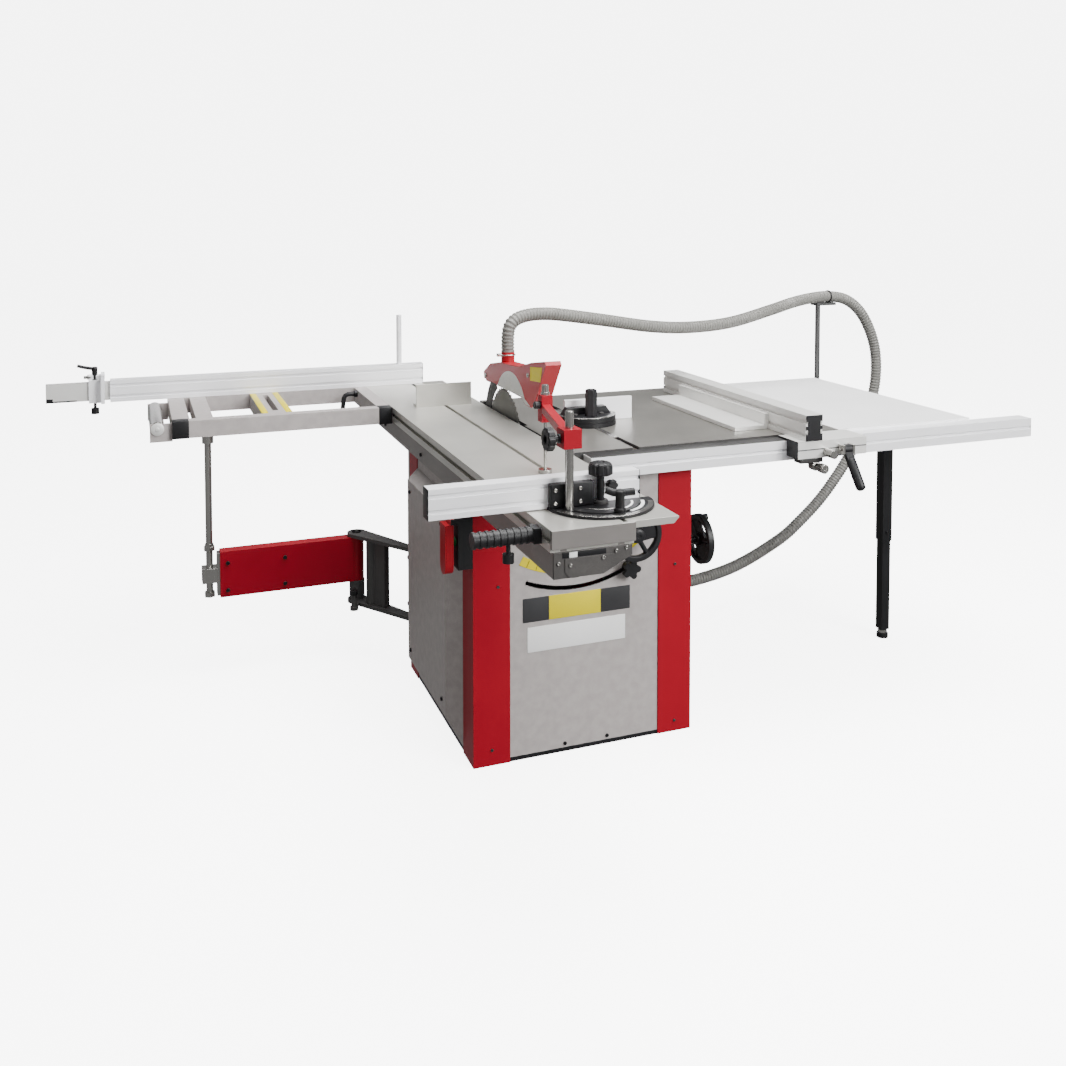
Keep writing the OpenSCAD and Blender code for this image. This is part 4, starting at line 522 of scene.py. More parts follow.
def end_cap(name, low, high, side, thick, material, body):
    """A plate over the left (-1) or the right (1) end of a box."""
    x = low.x - thick if side < 0 else high.x
    return block(name, (x, low.y, low.z), (x + thick, high.y, high.z), END_EDGE, material, body)


def middle(low, high):
    """The middle of a box, seen from above."""
    return (low.x + high.x) / 2, (low.y + high.y) / 2


# %% [markdown]
# A plate is a flat curve with a thickness, as if cut from sheet, and a rod is a curve with a round
# section. Arcs count from straight down, because the tilt scale hangs below its centre.

# %% Helpers for cut plates and bent rods
PLANE_TURNS = {"xy": (0, 0, 0), "xz": (math.pi / 2, 0, 0), "yz": (math.pi / 2, 0, math.pi / 2)}
PLANE_SIDES = {"xy": Vector((0, 0, 1)), "xz": Vector((0, 1, 0)), "yz": Vector((1, 0, 0))}


def cut_plate(name, outlines, thick, plane, at, material, body, edge=0.0):
    """A plate cut to closed outlines in a plane, its middle at a place on the third axis."""
    flat = bpy.data.curves.new(name, "CURVE")
    flat.dimensions = "2D"
    flat.fill_mode = "BOTH"
    flat.extrude = thick / 2 - edge
    flat.bevel_depth = edge
    flat.offset = -edge
    for outline in outlines:
        spline = flat.splines.new("POLY")
        spline.points.add(len(outline) - 1)
        for point, (u, v) in zip(spline.points, outline):
            point.co = (u, v, 0, 1)
        spline.use_cyclic_u = True
    piece = bpy.data.objects.new(name, flat)
    bpy.context.scene.collection.objects.link(piece)
    active(piece)
    bpy.ops.object.convert(target="MESH")
    piece = bpy.context.object
    piece.rotation_euler = PLANE_TURNS[plane]
    piece.location = PLANE_SIDES[plane] * at
    return settle(piece, name, material, body)


def bent_rod(name, line, radius, material, body, closed=False, at=(0, 0, 0)):
    """A round rod along a line of points, counted from a place."""
    guide = guide_curve(name, [Vector(at) + Vector(point) for point in line])
    guide.data.bevel_depth = radius
    guide.data.bevel_resolution = 3
    guide.data.use_fill_caps = not closed
    guide.data.splines[0].use_cyclic_u = closed
    active(guide)
    bpy.ops.object.convert(target="MESH")
    return settle(bpy.context.object, name, material, body, smooth=50)


def arc(centre, radius, start, end, steps=24):
    """Points on an arc, in degrees counted from straight down, positive to the right."""
    turns = [math.radians(start + (end - start) * step / steps) for step in range(steps + 1)]
    return [(centre[0] + radius * math.sin(a), centre[1] - radius * math.cos(a)) for a in turns]


def arc_band(centre, inner, outer, start, end):
    return arc(centre, outer, start, end) + arc(centre, inner, end, start)


def scale_marks(centre, inner, fifteen_inner, outer, half, first, last):
    """Bands for a mark at every five degrees, from another radius at every fifteen."""
    inners = {turn: inner if turn % 15 else fifteen_inner for turn in range(first, last + 1, 5)}
    return [arc_band(centre, start, outer, turn - half, turn + half) for turn, start in inners.items()]


def ring(name, place, across, up, radius, thick, material, body):
    """A thin band round a tube, as a rod bent to a circle about the place."""
    place, across, up = Vector(place), Vector(across), Vector(up)
    line = [place + radius * (across * u + up * v) for u, v in arc((0, 0), 1, 0, 345, 23)]
    return bent_rod(name, line, thick, material, body, closed=True)


print("helpers ready")

# %% [markdown]
# The front panel carries the tilt scale, a yellow arc about the line that the blade tilts on, with a
# mark for every five degrees. Rubber lips run round the two arc slots. All of them are thin, so a
# plate cut to an outline is the shortest way to make them.

# %% Front panel
panel_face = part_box("front_panel")[0].y
blade_low, blade_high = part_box("saw_blade")
TABLE_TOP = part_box("main_table")[1].z
TILT_CENTRE = ((blade_low.x + blade_high.x) / 2, TABLE_TOP)
PLATE_T = 0.0012
SCALE_R0, SCALE_R1, SCALE_FROM, SCALE_TO = 0.314, 0.34, -29, 37
FIVE_INSET, FIFTEEN_INSET, MARK_END, MARK_HALF = 0.004, 0.01, 0.002, 0.12
LIP_ROD, LIP_PROUD = 0.0011, 0.0008
SLOT_LIPS = (("lock_slot_lip", 0.379, 0.0115, 0.0052, -22, 29),
             ("shaft_slot_lip", 0.2777, 0.0145, 0.0085, -13, 38))

scale = arc_band(TILT_CENTRE, SCALE_R0, SCALE_R1, SCALE_FROM, SCALE_TO)
cut_plate("tilt_scale", [scale], PLATE_T, "xz", panel_face - PLATE_T / 2, yellow_paint, "frame")
marks = scale_marks(TILT_CENTRE, SCALE_R0 + FIVE_INSET, SCALE_R0 + FIFTEEN_INSET, SCALE_R1 - MARK_END,
    MARK_HALF, -25, 35)
cut_plate("tilt_marks", marks, PLATE_T / 4, "xz", panel_face - PLATE_T * 1.1, black_paint, "frame")
for name, radius, half, open_half, start, end in SLOT_LIPS:
    lips = [arc_band(TILT_CENTRE, radius - half, radius - open_half, start, end),
            arc_band(TILT_CENTRE, radius + open_half, radius + half, start, end)]
    cut_plate(name, lips, PLATE_T / 2, "xz", panel_face - PLATE_T / 4, grey_paint, "frame")
    line = arc_band(TILT_CENTRE, radius - open_half, radius + open_half, start + 1, end - 1)
    lip_line = [(x, panel_face - LIP_PROUD, z) for x, z in line]
    bent_rod(name + "_edge", lip_line, LIP_ROD, belt_rubber, "frame", closed=True)
print("tilt scale with", len(marks), "marks")

# %% [markdown]
# Two plates sit below the scale, one in three colours and one blank. On a real machine they are sheet,
# so thin blocks with broken edges do. Screws hold the panel, the posts, the side cover and the beam.
# Each kind of screw is modelled once and copied.

# %% Plates and screws on the cabinet
NOTICE_X, NOTICE_Z = (-0.19, -0.112, 0.046, 0.138), (0.387, 0.455)
BLANK_X, BLANK_Z = (-0.176, 0.123), (0.301, 0.372)
PLATE_EDGE = 0.0004
post_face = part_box("corner_posts")[0].y
cover_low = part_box("left_cover")[0]
beam_low, beam_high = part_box("guide_beam")

for number, material in enumerate((ink_and_groove_shade, yellow_paint, ink_and_groove_shade)):
    block(f"notice_plate_{number + 1}", (NOTICE_X[number], panel_face - PLATE_T, NOTICE_Z[0]),
        (NOTICE_X[number + 1], panel_face, NOTICE_Z[1]), PLATE_EDGE, material, "frame")
block("blank_plate", (BLANK_X[0], panel_face - PLATE_T, BLANK_Z[0]), (BLANK_X[1], panel_face, BLANK_Z[1]),
    PLATE_EDGE, white_label, "frame")
screws("panel_screw", (-0.063, panel_face, 0.0235), FRONT, 5, black_paint, "frame", [(0.13, 0, 0)])
screws("post_screw", (-0.2815, post_face, 0.044), FRONT, 4.2, dark_iron, "frame",
    [(0.5635, 0, -0.012), (0.0185, 0, 0.456), (0.5635, 0, 0.456)])
screws("cover_screw", (cover_low.x, cover_low.y + 0.075, 0.64), LEFT, 6, black_paint, "frame",
    [(0, 0.366, 0), (0, 0, -0.51), (0, 0.366, -0.51)])
screws("beam_screw", (beam_low.x, 0.145, 0.765), LEFT, 6, black_paint, "frame", [(0, -0.5, 0), (0, 0.5, 0)])
print("cabinet plates and screws fitted")

# %% [markdown]
# The guide beam is a hollow extrusion, and a casting closes each end, with its lower right corner cut
# away. The near one also has a raised pad with a round corner, a slot drawn as a black plate of painted
# shade, a blank label and five screws. Their outlines follow the beam's own box, so they stay on it if
# the beam changes.

# %% End castings of the guide beam
CASTING_T, PAD_T = 0.0045, 0.002
CASTING_EDGE, PAD_EDGE = 0.001, 0.0008
CUT_W, CUT_H = 0.07, 0.6 * 0.058
CASTING_TOP = 0.7995
PAD_LEFT, PAD_RIGHT, PAD_TOP, PAD_CORNER = -0.3245, -0.206, 0.785, 0.019
PAD_TAIL = [(-0.292, beam_low.z), (-0.278, 0.7475), (-0.273, 0.757)]
SLOT_X, LABEL_X, SLOT_Z = (-0.33, -0.226), (-0.314, -0.295), (0.7865, 0.7985)
SLOT_T, LABEL_T = 0.001, 0.0008

casting_outline = [(beam_high.x, CASTING_TOP), (beam_low.x, CASTING_TOP), (beam_low.x, beam_low.z),
    (beam_high.x - CUT_W, beam_low.z), (beam_high.x, beam_low.z + CUT_H)]
casting = cut_plate("beam_end_casting", [casting_outline], CASTING_T, "xz", beam_low.y - CASTING_T / 2,
    cast_grey, "frame", edge=CASTING_EDGE)
repeat(casting, [(0, beam_high.y - beam_low.y + CASTING_T, 0)])
face_y = beam_low.y - CASTING_T
corner = arc((PAD_LEFT + PAD_CORNER, beam_low.z + PAD_CORNER), PAD_CORNER, -90, 0, 10)
pad_outline = [(PAD_RIGHT, PAD_TOP), (PAD_LEFT, PAD_TOP), *corner, *PAD_TAIL]
cut_plate("beam_end_pad", [pad_outline], PAD_T, "xz", face_y - PAD_T / 2, cast_grey, "frame", edge=PAD_EDGE)
slot_y = face_y - SLOT_T
# The slot is not cut: a black plate is painted shade where the slot's shaded inside would show.
block("beam_end_slot_shade", (SLOT_X[0], slot_y, SLOT_Z[0]), (SLOT_X[1], face_y, SLOT_Z[1]), 0.0004, black_paint,
    "frame")
block("beam_end_label", (LABEL_X[0], slot_y - LABEL_T, SLOT_Z[0]), (LABEL_X[1], slot_y, SLOT_Z[1]), 0.0003,
    white_label, "frame")
screws("beam_end_screw", (-0.3385, face_y, 0.776), FRONT, 4.5, bright_steel, "frame",
    [(0.027, -PAD_T, -0.006), (0.105, -PAD_T, 0.003), (0.137, 0, 0.014), (0.162, 0, 0.018)])
print("beam ends closed")

# %% [markdown]
# The blade guard is one red moulding, and below it hangs a pale shield, which shows as a crescent
# over the teeth. A plain yellow patch, a clamp ring on the spigot and two bolts finish it.
# The crescent is an arc with three corners, so it is cut as a plate.

# %% Blade guard
guard_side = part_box("blade_guard")[0].x
SHIELD_T = 0.0012
SHIELD_CENTRE, SHIELD_R = (0.12, 0.85), 0.165
SHIELD_CORNERS = [(-0.062, 0.9345), (-0.022, 0.9345), (0.018, 0.9495)]
PATCH = [(-0.15, 1.022), (-0.062, 1.014), (-0.062, 1.056), (-0.164, 1.068)]
CLAMP_R, CLAMP_ROD, CLAMP_BACK = HOSE_D / 2 + 0.0014, 0.0026, 0.01
EAR_LOW, EAR_HIGH = Vector((-0.038, -0.006, -0.005)), Vector((-0.022, 0.006, 0.005))

shield = arc(SHIELD_CENTRE, SHIELD_R, 127, 233, 30) + SHIELD_CORNERS
cut_plate("guard_shield", [shield], SHIELD_T, "yz", guard_side - SHIELD_T / 2, pale_shield, "saw_lift")
cut_plate("guard_patch", [PATCH], SHIELD_T / 2, "yz", guard_side - SHIELD_T / 4, yellow_paint, "saw_lift")
spigot = route[0] - Vector((0, 0, CLAMP_BACK))
ring("spigot_clamp", spigot, (1, 0, 0), (0, 1, 0), CLAMP_R, CLAMP_ROD, bright_steel, "saw_lift")
block("spigot_clamp_ears", spigot + EAR_LOW, spigot + EAR_HIGH, 0.001, bright_steel, "saw_lift")
screws("guard_bolt", (guard_side, 0.372, 0.966), LEFT, 7, bright_steel, "saw_lift", [(0, -0.42, 0.062)])
print("guard dressed")

# %% [markdown]
# The hose is held by a strap on its hook and by clamp rings where it meets the guard and the dust hood.
# The hood's outlet ends in a rolled bead, which keeps a duct from slipping off. All of these are rods
# bent to a circle, so one helper makes them.

# %% Hose fittings and hood
STRAP_R = HOSE_D / 2 + 0.001
OUTLET_X, OUTLET_Z, BEAD_R, BEAD_ROD, BEAD_BACK = -0.07, 0.24, 0.0535, 0.0025, 0.003
hood_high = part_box("dust_hood")[1]

hook_place = route[HOOK_POINT]
hose_way = (route[HOOK_POINT + 1] - route[HOOK_POINT - 1]).normalized()
hose_side = hose_way.cross(Vector((0, 0, 1))).normalized()
ring("hose_strap", hook_place, hose_side, hose_side.cross(hose_way), STRAP_R, CLAMP_ROD, black_plastic,
    "frame")
inlet = route[-1] - Vector((CLAMP_BACK, 0, 0))
ring("inlet_clamp", inlet, (0, 1, 0), (0, 0, 1), CLAMP_R, CLAMP_ROD, bright_steel, "frame")
outlet = (OUTLET_X, hood_high.y - BEAD_BACK, OUTLET_Z)
ring("outlet_bead", outlet, (1, 0, 0), (0, 0, 1), BEAD_R, BEAD_ROD, grey_paint, "frame")
screws("hood_screw", (hood_high.x, 0.385, 0.6), (1, 0, 0), 5, bright_steel, "frame",
    [(0, 0, -0.18), (0, 0, -0.36)])
print("hose held at", [round(v, 3) for v in hook_place])

# %% [markdown]
# The protractor of the front fence has a bright scale with a mark every five degrees, pale borders round
# its slot, an upright block that carries the fence, and a T-shaped lever that locks the swing. The knobs
# have flutes for the fingers, made by pulling in every fourth corner of their first circle.

# %% Front fence fittings
PIVOT, SCALE_Z = (-0.176, -0.845), 0.8565
SHEET_T, INK_T, INK_Z = 0.0006, 0.0003, 0.8572
# The thin bright arc at the front of the dark rim, inside the scale, is a painted highlight of the glossy
# rim.
SWING_BANDS = (("swing_scale", [(0.1155, 0.1275, -72, 74)], bright_steel),
               ("painted_highlight_arc", [(0.062, 0.0665, -50, 20)], bright_steel),
               ("slot_border", [(0.0755, 0.0805, 28, 76), (0.099, 0.107, 22, 76)], white_label))
SWING_MARK_R, SWING_LONG_R, SWING_MARK_END, SWING_HALF = 0.1175, 0.116, 0.1265, 0.3
BLOCK_LOW, BLOCK_HIGH, BLOCK_EDGE = (-0.305, -0.866, SCALE_Z), (-0.197, -0.8462, 0.913), 0.003
KNOB_Y, GRIP_Z = PIVOT[1] - 0.009, 0.9225
COLLAR = [(0, 18.5), (6, 18.5), (8, 16.5)]
KNOB_GRIP = [(0, 23.5), (3, 29), (20, 29), (27, 25.5), (30, 19), (31, 10), (29, 8)]
END_KNOB = [(0, 7), (14, 7), (14, 12), (16, 13.5), (26, 13.5), (29, 11)]
LOCK = (-0.164, -0.937, SCALE_Z)
LOCK_STEM = [(0, 14), (7, 14), (9, 10.5), (34, 10.5), (37, 12.5), (47, 12.5), (50, 9)]
LOCK_LEVER = [(-0.03, 0.012, 0.0495), (-0.015, 0.005, 0.043), (0.01, 0, 0.0425), (0.034, -0.005, 0.044)]
LEVER_ROD, END_T = 0.0085, 0.002
fence_low, fence_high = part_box("front_fence")

for name, bands, material in SWING_BANDS:
    cut_plate(name, [arc_band(PIVOT, *band) for band in bands], SHEET_T, "xy", SCALE_Z + SHEET_T / 2,
        material, "front_unit")
swing_marks = scale_marks(PIVOT, SWING_MARK_R, SWING_LONG_R, SWING_MARK_END, SWING_HALF, -70, 70)
cut_plate("swing_marks", swing_marks, INK_T, "xy", INK_Z, black_paint, "front_unit")
block("fence_block", BLOCK_LOW, BLOCK_HIGH, BLOCK_EDGE, black_paint, "front_unit")
screws("fence_block_screw", (-0.294, BLOCK_LOW[1], 0.899), FRONT, 4.5, bright_steel, "front_unit",
    [(0.062, 0, 0), (0.062, 0, -0.03), (0, 0, -0.03)])
turned("pivot_collar", (PIVOT[0], KNOB_Y, SCALE_Z), UP, COLLAR, dark_iron, "front_unit")
turned("pivot_knob_grip", (PIVOT[0], KNOB_Y, GRIP_Z), UP, KNOB_GRIP, black_plastic, "front_unit", flutes=9)
turned("fence_end_knob", (-0.152, BLOCK_HIGH[1], 0.899), FRONT, END_KNOB, black_plastic, "front_unit",
    flutes=6)
turned("swing_lock_stem", LOCK, UP, LOCK_STEM, black_plastic, "front_unit")
bent_rod("swing_lock_lever", LOCK_LEVER, LEVER_ROD, black_plastic, "front_unit", at=LOCK)
end_cap("front_fence_end", fence_low, fence_high, -1, END_T, black_plastic, "front_unit")
end_cap("front_fence_end_right", fence_low, fence_high, 1, END_T, black_plastic, "front_unit")
print("protractor marks:", len(swing_marks))

# %% [markdown]
# The clamp slides on the column and presses the work down with its spindle. A fluted knob with a neck
# locks it, a pin holds the yoke at its free end, and a bush guides the spindle. They are all lathe
# work, so each is a short list of steps along an axis.

# %% Clamp fittings
KNOB_PLACE, NECK_OUT = Vector((clamp_low.x + 0.016, -0.88, 1.022)), Vector((0.018, 0, 0))
CLAMP_KNOB = [(0, 24), (2, 27.5), (15, 27.5), (18, 24), (18, 12), (16, 10)]
KNOB_NECK = [(0, 11), (4, 11), (6, 8), (18, 8)]
PIN_OUT, PIN_Z, BUSH_Z = 0.015, 1.03, 1.056
YOKE_PIN = [(0, 10), (14, 10), (16, 8)]
YOKE_BUSH = [(0, 11.5), (7, 11.5), (8, 10)]
COLUMN_CAP = [(0, 9.8), (1.5, 9.2), (2, 8)]

turned("clamp_knob", KNOB_PLACE, LEFT, CLAMP_KNOB, black_plastic, "clamp", flutes=10)
turned("clamp_knob_neck", KNOB_PLACE + NECK_OUT, LEFT, KNOB_NECK, black_plastic, "clamp")
spindle_x, spindle_y = middle(*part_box("clamp_spindle"))
turned("yoke_pin", (spindle_x - PIN_OUT, spindle_y, PIN_Z), LEFT, YOKE_PIN, black_plastic, "clamp",
    sides=24)
turned("yoke_bush", (spindle_x, spindle_y, BUSH_Z), UP, YOKE_BUSH, bright_steel, "clamp", sides=24)
turned("column_cap", (*middle(column_low, column_high), column_high.z), UP, COLUMN_CAP, bright_steel,
    "front_unit")
print("clamp dressed")

# %% [markdown]
# The outrigger's near corners wear black caps, and its slotted bar has yellow edges so that a hand
# keeps clear of the slot. A disc closes the roller, and a bent handle tightens the clamp on the
# inner tube. The caps are blocks a little larger than the tube, so they look pressed on.

# %% Outrigger
OUT_LEFT, OUT_INNER, OUT_FRONT, OUT_LOW, TUBE_W = -1.073, -0.402, 0.512, 0.795, 0.046
CAP_T, CAP_EDGE, CAP_LENGTH, CAP_GAP = 0.0012, 0.001, 0.05, 0.0005
SLOTTED_W, EDGE_W, EDGE_T, EDGE_GAP = 0.1, 0.021, 0.0005, 0.001
ROLLER_DISC = [(0, 20.5), (3, 20.5), (4, 19), (4, 7), (6, 6), (6.5, 4)]
HANDLE = (OUT_INNER, 0.9, 0.836)
HANDLE_BENDS = [(0, 0, 0), (-0.034, 0, 0), (-0.044, 0, -0.004), (-0.05, 0, -0.016), (-0.054, 0, -0.052)]
HANDLE_HUB = [(0, 12.5), (10, 12.5), (13, 10)]
bars_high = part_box("outrigger_bars")[1]
roller_low, roller_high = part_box("outrigger_roller")

cap_front, cap_low = OUT_FRONT - CAP_T, OUT_LOW - CAP_T
cap_back, cap_top = OUT_FRONT + TUBE_W + CAP_T, TABLE_TOP + CAP_T / 2
block("outrigger_cap_left", (OUT_LEFT - CAP_T, cap_front, cap_low),
    (OUT_LEFT + CAP_LENGTH, cap_back, cap_top), CAP_EDGE, black_plastic, "slider")
block("outrigger_cap_right", (OUT_INNER, cap_front, cap_low),
    (OUT_INNER + TUBE_W - CAP_GAP, cap_back, cap_top), CAP_EDGE, black_plastic, "slider")
slotted_left = bars_high.x - SLOTTED_W
left_edge = block("slot_edge", (slotted_left, OUT_FRONT + TUBE_W + EDGE_GAP, TABLE_TOP),
    (slotted_left + EDGE_W, bars_high.y - EDGE_GAP, TABLE_TOP + EDGE_T), 0.0002, yellow_paint, "slider")
repeat(left_edge, [(SLOTTED_W - EDGE_W, 0, 0)])
roller_z = (roller_low.z + roller_high.z) / 2
turned("roller_disc", (middle(roller_low, roller_high)[0], roller_low.y, roller_z), FRONT, ROLLER_DISC,
    aluminium, "slider")
bent_rod("inner_clamp_handle", HANDLE_BENDS, LEVER_ROD, black_plastic, "slider", at=HANDLE)
turned("inner_clamp_hub", HANDLE, LEFT, HANDLE_HUB, black_plastic, "slider")
print("outrigger dressed")

# %% [markdown]
# The swing arm carries the outrigger through an upright rod. Screws hold its side plate and its bracket,
# a cap closes the hinge pin, a knob works the latch, and hexagon nuts lock the rod at both ends. A
# circle with six corners is all that a nut needs.

# %% Swing arm
ARM_PIN, LATCH = (-0.48, 0.53), (-0.505, 0.452, 0.245)
PIN_CAP = [(-3, 16.5), (-1, 16.5), (0, 15), (0, 6), (-2, 5)]
LATCH_CAP = [(-10, 12.5), (3, 12.5), (5, 11), (5, 6), (10, 5)]
ROD_NUT = [(0, 19), (12, 19), (14, 16), (22, 15)]
LOWER_NUT = [(0, 13), (1, 18), (16, 18), (18, 14)]
NUT_UP, LOWER_NUT_UP = 0.004, 0.001
arm_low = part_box("swing_arm")[0]
rod_low, rod_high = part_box("support_rod")
bracket_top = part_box("arm_bracket")[1].z

screws("arm_screw", (-0.909, arm_low.y, 0.374), FRONT, 6.5, black_paint, "arm",
    [(0, 0, -0.09), (0.184, 0, -0.002), (0.184, 0, -0.09)])
screws("bracket_screw", (-0.345, 0.266, 0.225), LEFT, 6.5, bright_steel, "frame",
    [(0, 0, 0.155), (0, 0.068, 0), (0, 0.068, 0.155)])
turned("arm_pin_cap", (*ARM_PIN, bracket_top), UP, PIN_CAP, black_paint, "frame")
turned("latch_cap", LATCH, UP, LATCH_CAP, black_plastic, "frame", flutes=6)
ROD = middle(rod_low, rod_high)
turned("rod_nut", (*ROD, rod_low.z + NUT_UP), UP, ROD_NUT, bright_steel, "slider", sides=6)
turned("rod_lower_nut", (*ROD, arm_low.z + LOWER_NUT_UP), UP, LOWER_NUT, bright_steel, "arm_inner", sides=6)
print("swing arm dressed")

# %% [markdown]
# The leg stands on a levelling foot: a rubber pad with a rim, and a bright nut that locks its thread. One
# screw holds the two tubes together.

# %% Leg fittings
leg_low, leg_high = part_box("leg_upper")
LEG = middle(leg_low, leg_high)
FOOT_NUT_Z, LEG_SCREW_UP, LEG_SCREW_R = 0.0155, 0.03, 6
FOOT_NUT = [(0, 15), (1, 16.5), (12, 16.5), (14, 14)]
FOOT_RIM = [(0, 18.5), (2, 20.5), (10, 20.5), (15.5, 15)]

turned("foot_nut", (*LEG, FOOT_NUT_Z), UP, FOOT_NUT, bright_steel, "leg", sides=6)
turned("foot_pad_rim", (*LEG, 0.0), UP, FOOT_RIM, belt_rubber, "leg")
screw("leg_screw", (LEG[0], leg_low.y, leg_low.z + LEG_SCREW_UP), FRONT, LEG_SCREW_R, black_plastic,
    "frame")
print("leg foot dressed at", [round(v, 3) for v in LEG])

# %% [markdown]
# The handwheels are moulded with a broad flat rim and a wide web across the middle, which leaves two
# openings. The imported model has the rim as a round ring, so a flat band with a hole goes over it, and
# a bar with rounded ends makes the web.

# %% Handwheels
WHEEL_R, RIM_W, RIM_T, WEB_T, GRIP_LENGTH, HUB_HALF = 0.0755, 0.0145, 0.02, 0.009, 0.048, 0.015
RIM_EDGE, WEB_EDGE = 0.002, 0.0015
HUB_CAP = [(0, 19.5), (2, 19.5), (4, 17.5), (5, 12), (5, 6), (3, 5)]
height_low, height_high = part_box("height_wheel")
tilt_low, tilt_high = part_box("tilt_wheel")
height_at, tilt_at = height_low.y + GRIP_LENGTH, tilt_high.x - GRIP_LENGTH
height_mid = ((height_low.x + height_high.x) / 2, (height_low.z + height_high.z) / 2)
tilt_mid = ((tilt_low.y + tilt_high.y) / 2, (tilt_low.z + tilt_high.z) / 2)
WHEELS = (("height", "xz", height_mid, height_at, "height_drive", 98, 18),
          ("tilt", "yz", tilt_mid, tilt_at, "tilt_drive", -38, 30))

for name, plane, mid, at, body, turn, half in WHEELS:
    rim = [arc(mid, WHEEL_R, 0, 351, 39), arc(mid, WHEEL_R - RIM_W, 0, 351, 39)]
    cut_plate(f"{name}_wheel_rim", rim, RIM_T, plane, at, black_plastic, body, edge=RIM_EDGE)
    reach = WHEEL_R - RIM_W / 2
    web = []
    for middle_turn in (turn, turn + 180):
        web += arc(mid, reach, middle_turn - half, middle_turn + half, 8)
    cut_plate(f"{name}_wheel_web", [web], WEB_T, plane, at, black_plastic, body, edge=WEB_EDGE)
turned("height_wheel_cap", (height_mid[0], height_at - HUB_HALF, height_mid[1]), FRONT, HUB_CAP,
    black_plastic, "height_drive")
turned("tilt_wheel_cap", (tilt_at + HUB_HALF, *tilt_mid), (1, 0, 0), HUB_CAP, black_plastic, "tilt_drive")
print("handwheels at", round(height_at, 3), "and", round(tilt_at, 3))

# %% [markdown]
# The rip fence is an extrusion with two grooves on each side, and black caps close its ends and show
# that profile. The profile is one list of heights and insets, used forwards for the right side and
# backwards for the left. The rail it runs on has end caps. Beside the tables a dark strip lies on the
# rail's top: partly the tables' dark front edge, partly painted shadow of the gap between table and rail.

# %% Rip fence and rail
CAP_IN, GROOVE_IN, RIP_CAP_T, RIP_CAP_EDGE = 0.001, 0.007, 0.003, 0.0005
GROOVE_Z = [0, 0.02, 0.02, 0.034, 0.034, 0.044, 0.044, 0.058, 0.058]
INSETS = [0, 0, GROOVE_IN, GROOVE_IN, 0, 0, GROOVE_IN, GROOVE_IN, 0, 0]
RAIL_CAP_T, STRIP_T = 0.0025, 0.0003
rip_low, rip_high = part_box("rip_fence")
rail_low, rail_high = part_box("front_rail")
side_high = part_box("side_table")[1]

right, left, bottom = rip_high.x - CAP_IN, rip_low.x + CAP_IN, rip_low.z + CAP_IN
side = list(zip(INSETS, [bottom + up for up in GROOVE_Z] + [rip_high.z - CAP_IN]))
profile = [(right - inset, z) for inset, z in side] + [(left + inset, z) for inset, z in reversed(side)]
rip_cap = cut_plate("rip_fence_cap", [profile], RIP_CAP_T, "xz", rip_low.y - RIP_CAP_T / 2, black_plastic,
    "rip", edge=RIP_CAP_EDGE)
repeat(rip_cap, [(0, rip_high.y - rip_low.y + RIP_CAP_T, 0)])
rail_cap = end_cap("rail_cap", rail_low, rail_high, -1, RAIL_CAP_T, aluminium, "frame")
repeat(rail_cap, [(rail_high.x - rail_low.x + RAIL_CAP_T, 0, 0)])
# Dark strip on the rail's top: the tables' dark front edge together with painted shadow of the gap.
block("rail_dark_edge_and_gap_shadow", (rail_low.x, rail_low.y, rail_high.z),
    (side_high.x, rail_high.y, rail_high.z + STRIP_T), 0.0001, dark_iron, "frame")
print("rip fence and rail capped")

# %% [markdown]
# The carriage holds the rip fence on the rail. Its lever has a plastic grip, and its face has a groove,
# which is drawn as a dark line of painted shade. Under it hangs a bright knob for fine feed on a small
# lug. The grip follows the lever's own slant, so its axis is given as a direction.

# %% Rip carriage
LEVER_SLANT, HUB_R = math.radians(55), 0.014
LEVER_WAY = (0, -math.cos(LEVER_SLANT), -math.sin(LEVER_SLANT))
LEVER_GRIP = [(34, 11.5), (36, 13.5), (42, 14.5), (118, 14.5), (126, 12.5), (130, 8)]
RAIL_GAP, CARRIAGE_OUT = 0.0005, 0.06
FACE_Y = rail_low.y - RAIL_GAP - CARRIAGE_OUT
GROOVE_LOW, GROOVE_HIGH, GROOVE_T, GROOVE_END = 0.8235, 0.8265, 0.0004, 0.0005
FINE_X, FINE_Z, FINE_BACK = 0.708, 0.771, 0.016
LUG_LOW, LUG_HIGH, LUG_Z = (-0.062, 0.004), (0.016, 0.04), 0.784
FINE_KNOB = [(-20, 15), (2, 15), (4, 9), (22, 9), (22, 12.5), (24, 14), (46, 14), (48, 12.5), (48, 6),
    (46, 5)]
carriage_low, carriage_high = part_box("rip_carriage")
lever_low, lever_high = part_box("rip_lever")

lever_hub = ((lever_low.x + lever_high.x) / 2, lever_high.y - HUB_R, lever_high.z - HUB_R)
turned("rip_lever_grip", lever_hub, LEVER_WAY, LEVER_GRIP, black_plastic, "rip_handle")
# The groove is not cut: a thin dark plate is painted shade where the groove's inside would be.
block("carriage_groove_shade", (carriage_low.x + GROOVE_END, FACE_Y - GROOVE_T, GROOVE_LOW),
    (carriage_high.x - GROOVE_END, FACE_Y, GROOVE_HIGH), 0.0001, ink_and_groove_shade, "rip")
block("fine_feed_lug", (FINE_X + LUG_LOW[0], FACE_Y + LUG_LOW[1], LUG_Z),
    (FINE_X + LUG_HIGH[0], FACE_Y + LUG_HIGH[1], carriage_low.z), 0.002, dark_iron, "rip")
turned("fine_feed_knob", (FINE_X, FACE_Y + FINE_BACK, FINE_Z), FRONT, FINE_KNOB, bright_steel, "rip",
    flutes=12)
print("rip carriage dressed")

# %% [markdown]
# The rear fence draws out to the left, and a stop slides on the drawn part. A lever on a hub locks the
# stop, and a bolt stands out of it. The stop runs over the tip of the fence, so the dark tip and its
# strip stand proud by less than the stop's clearance.

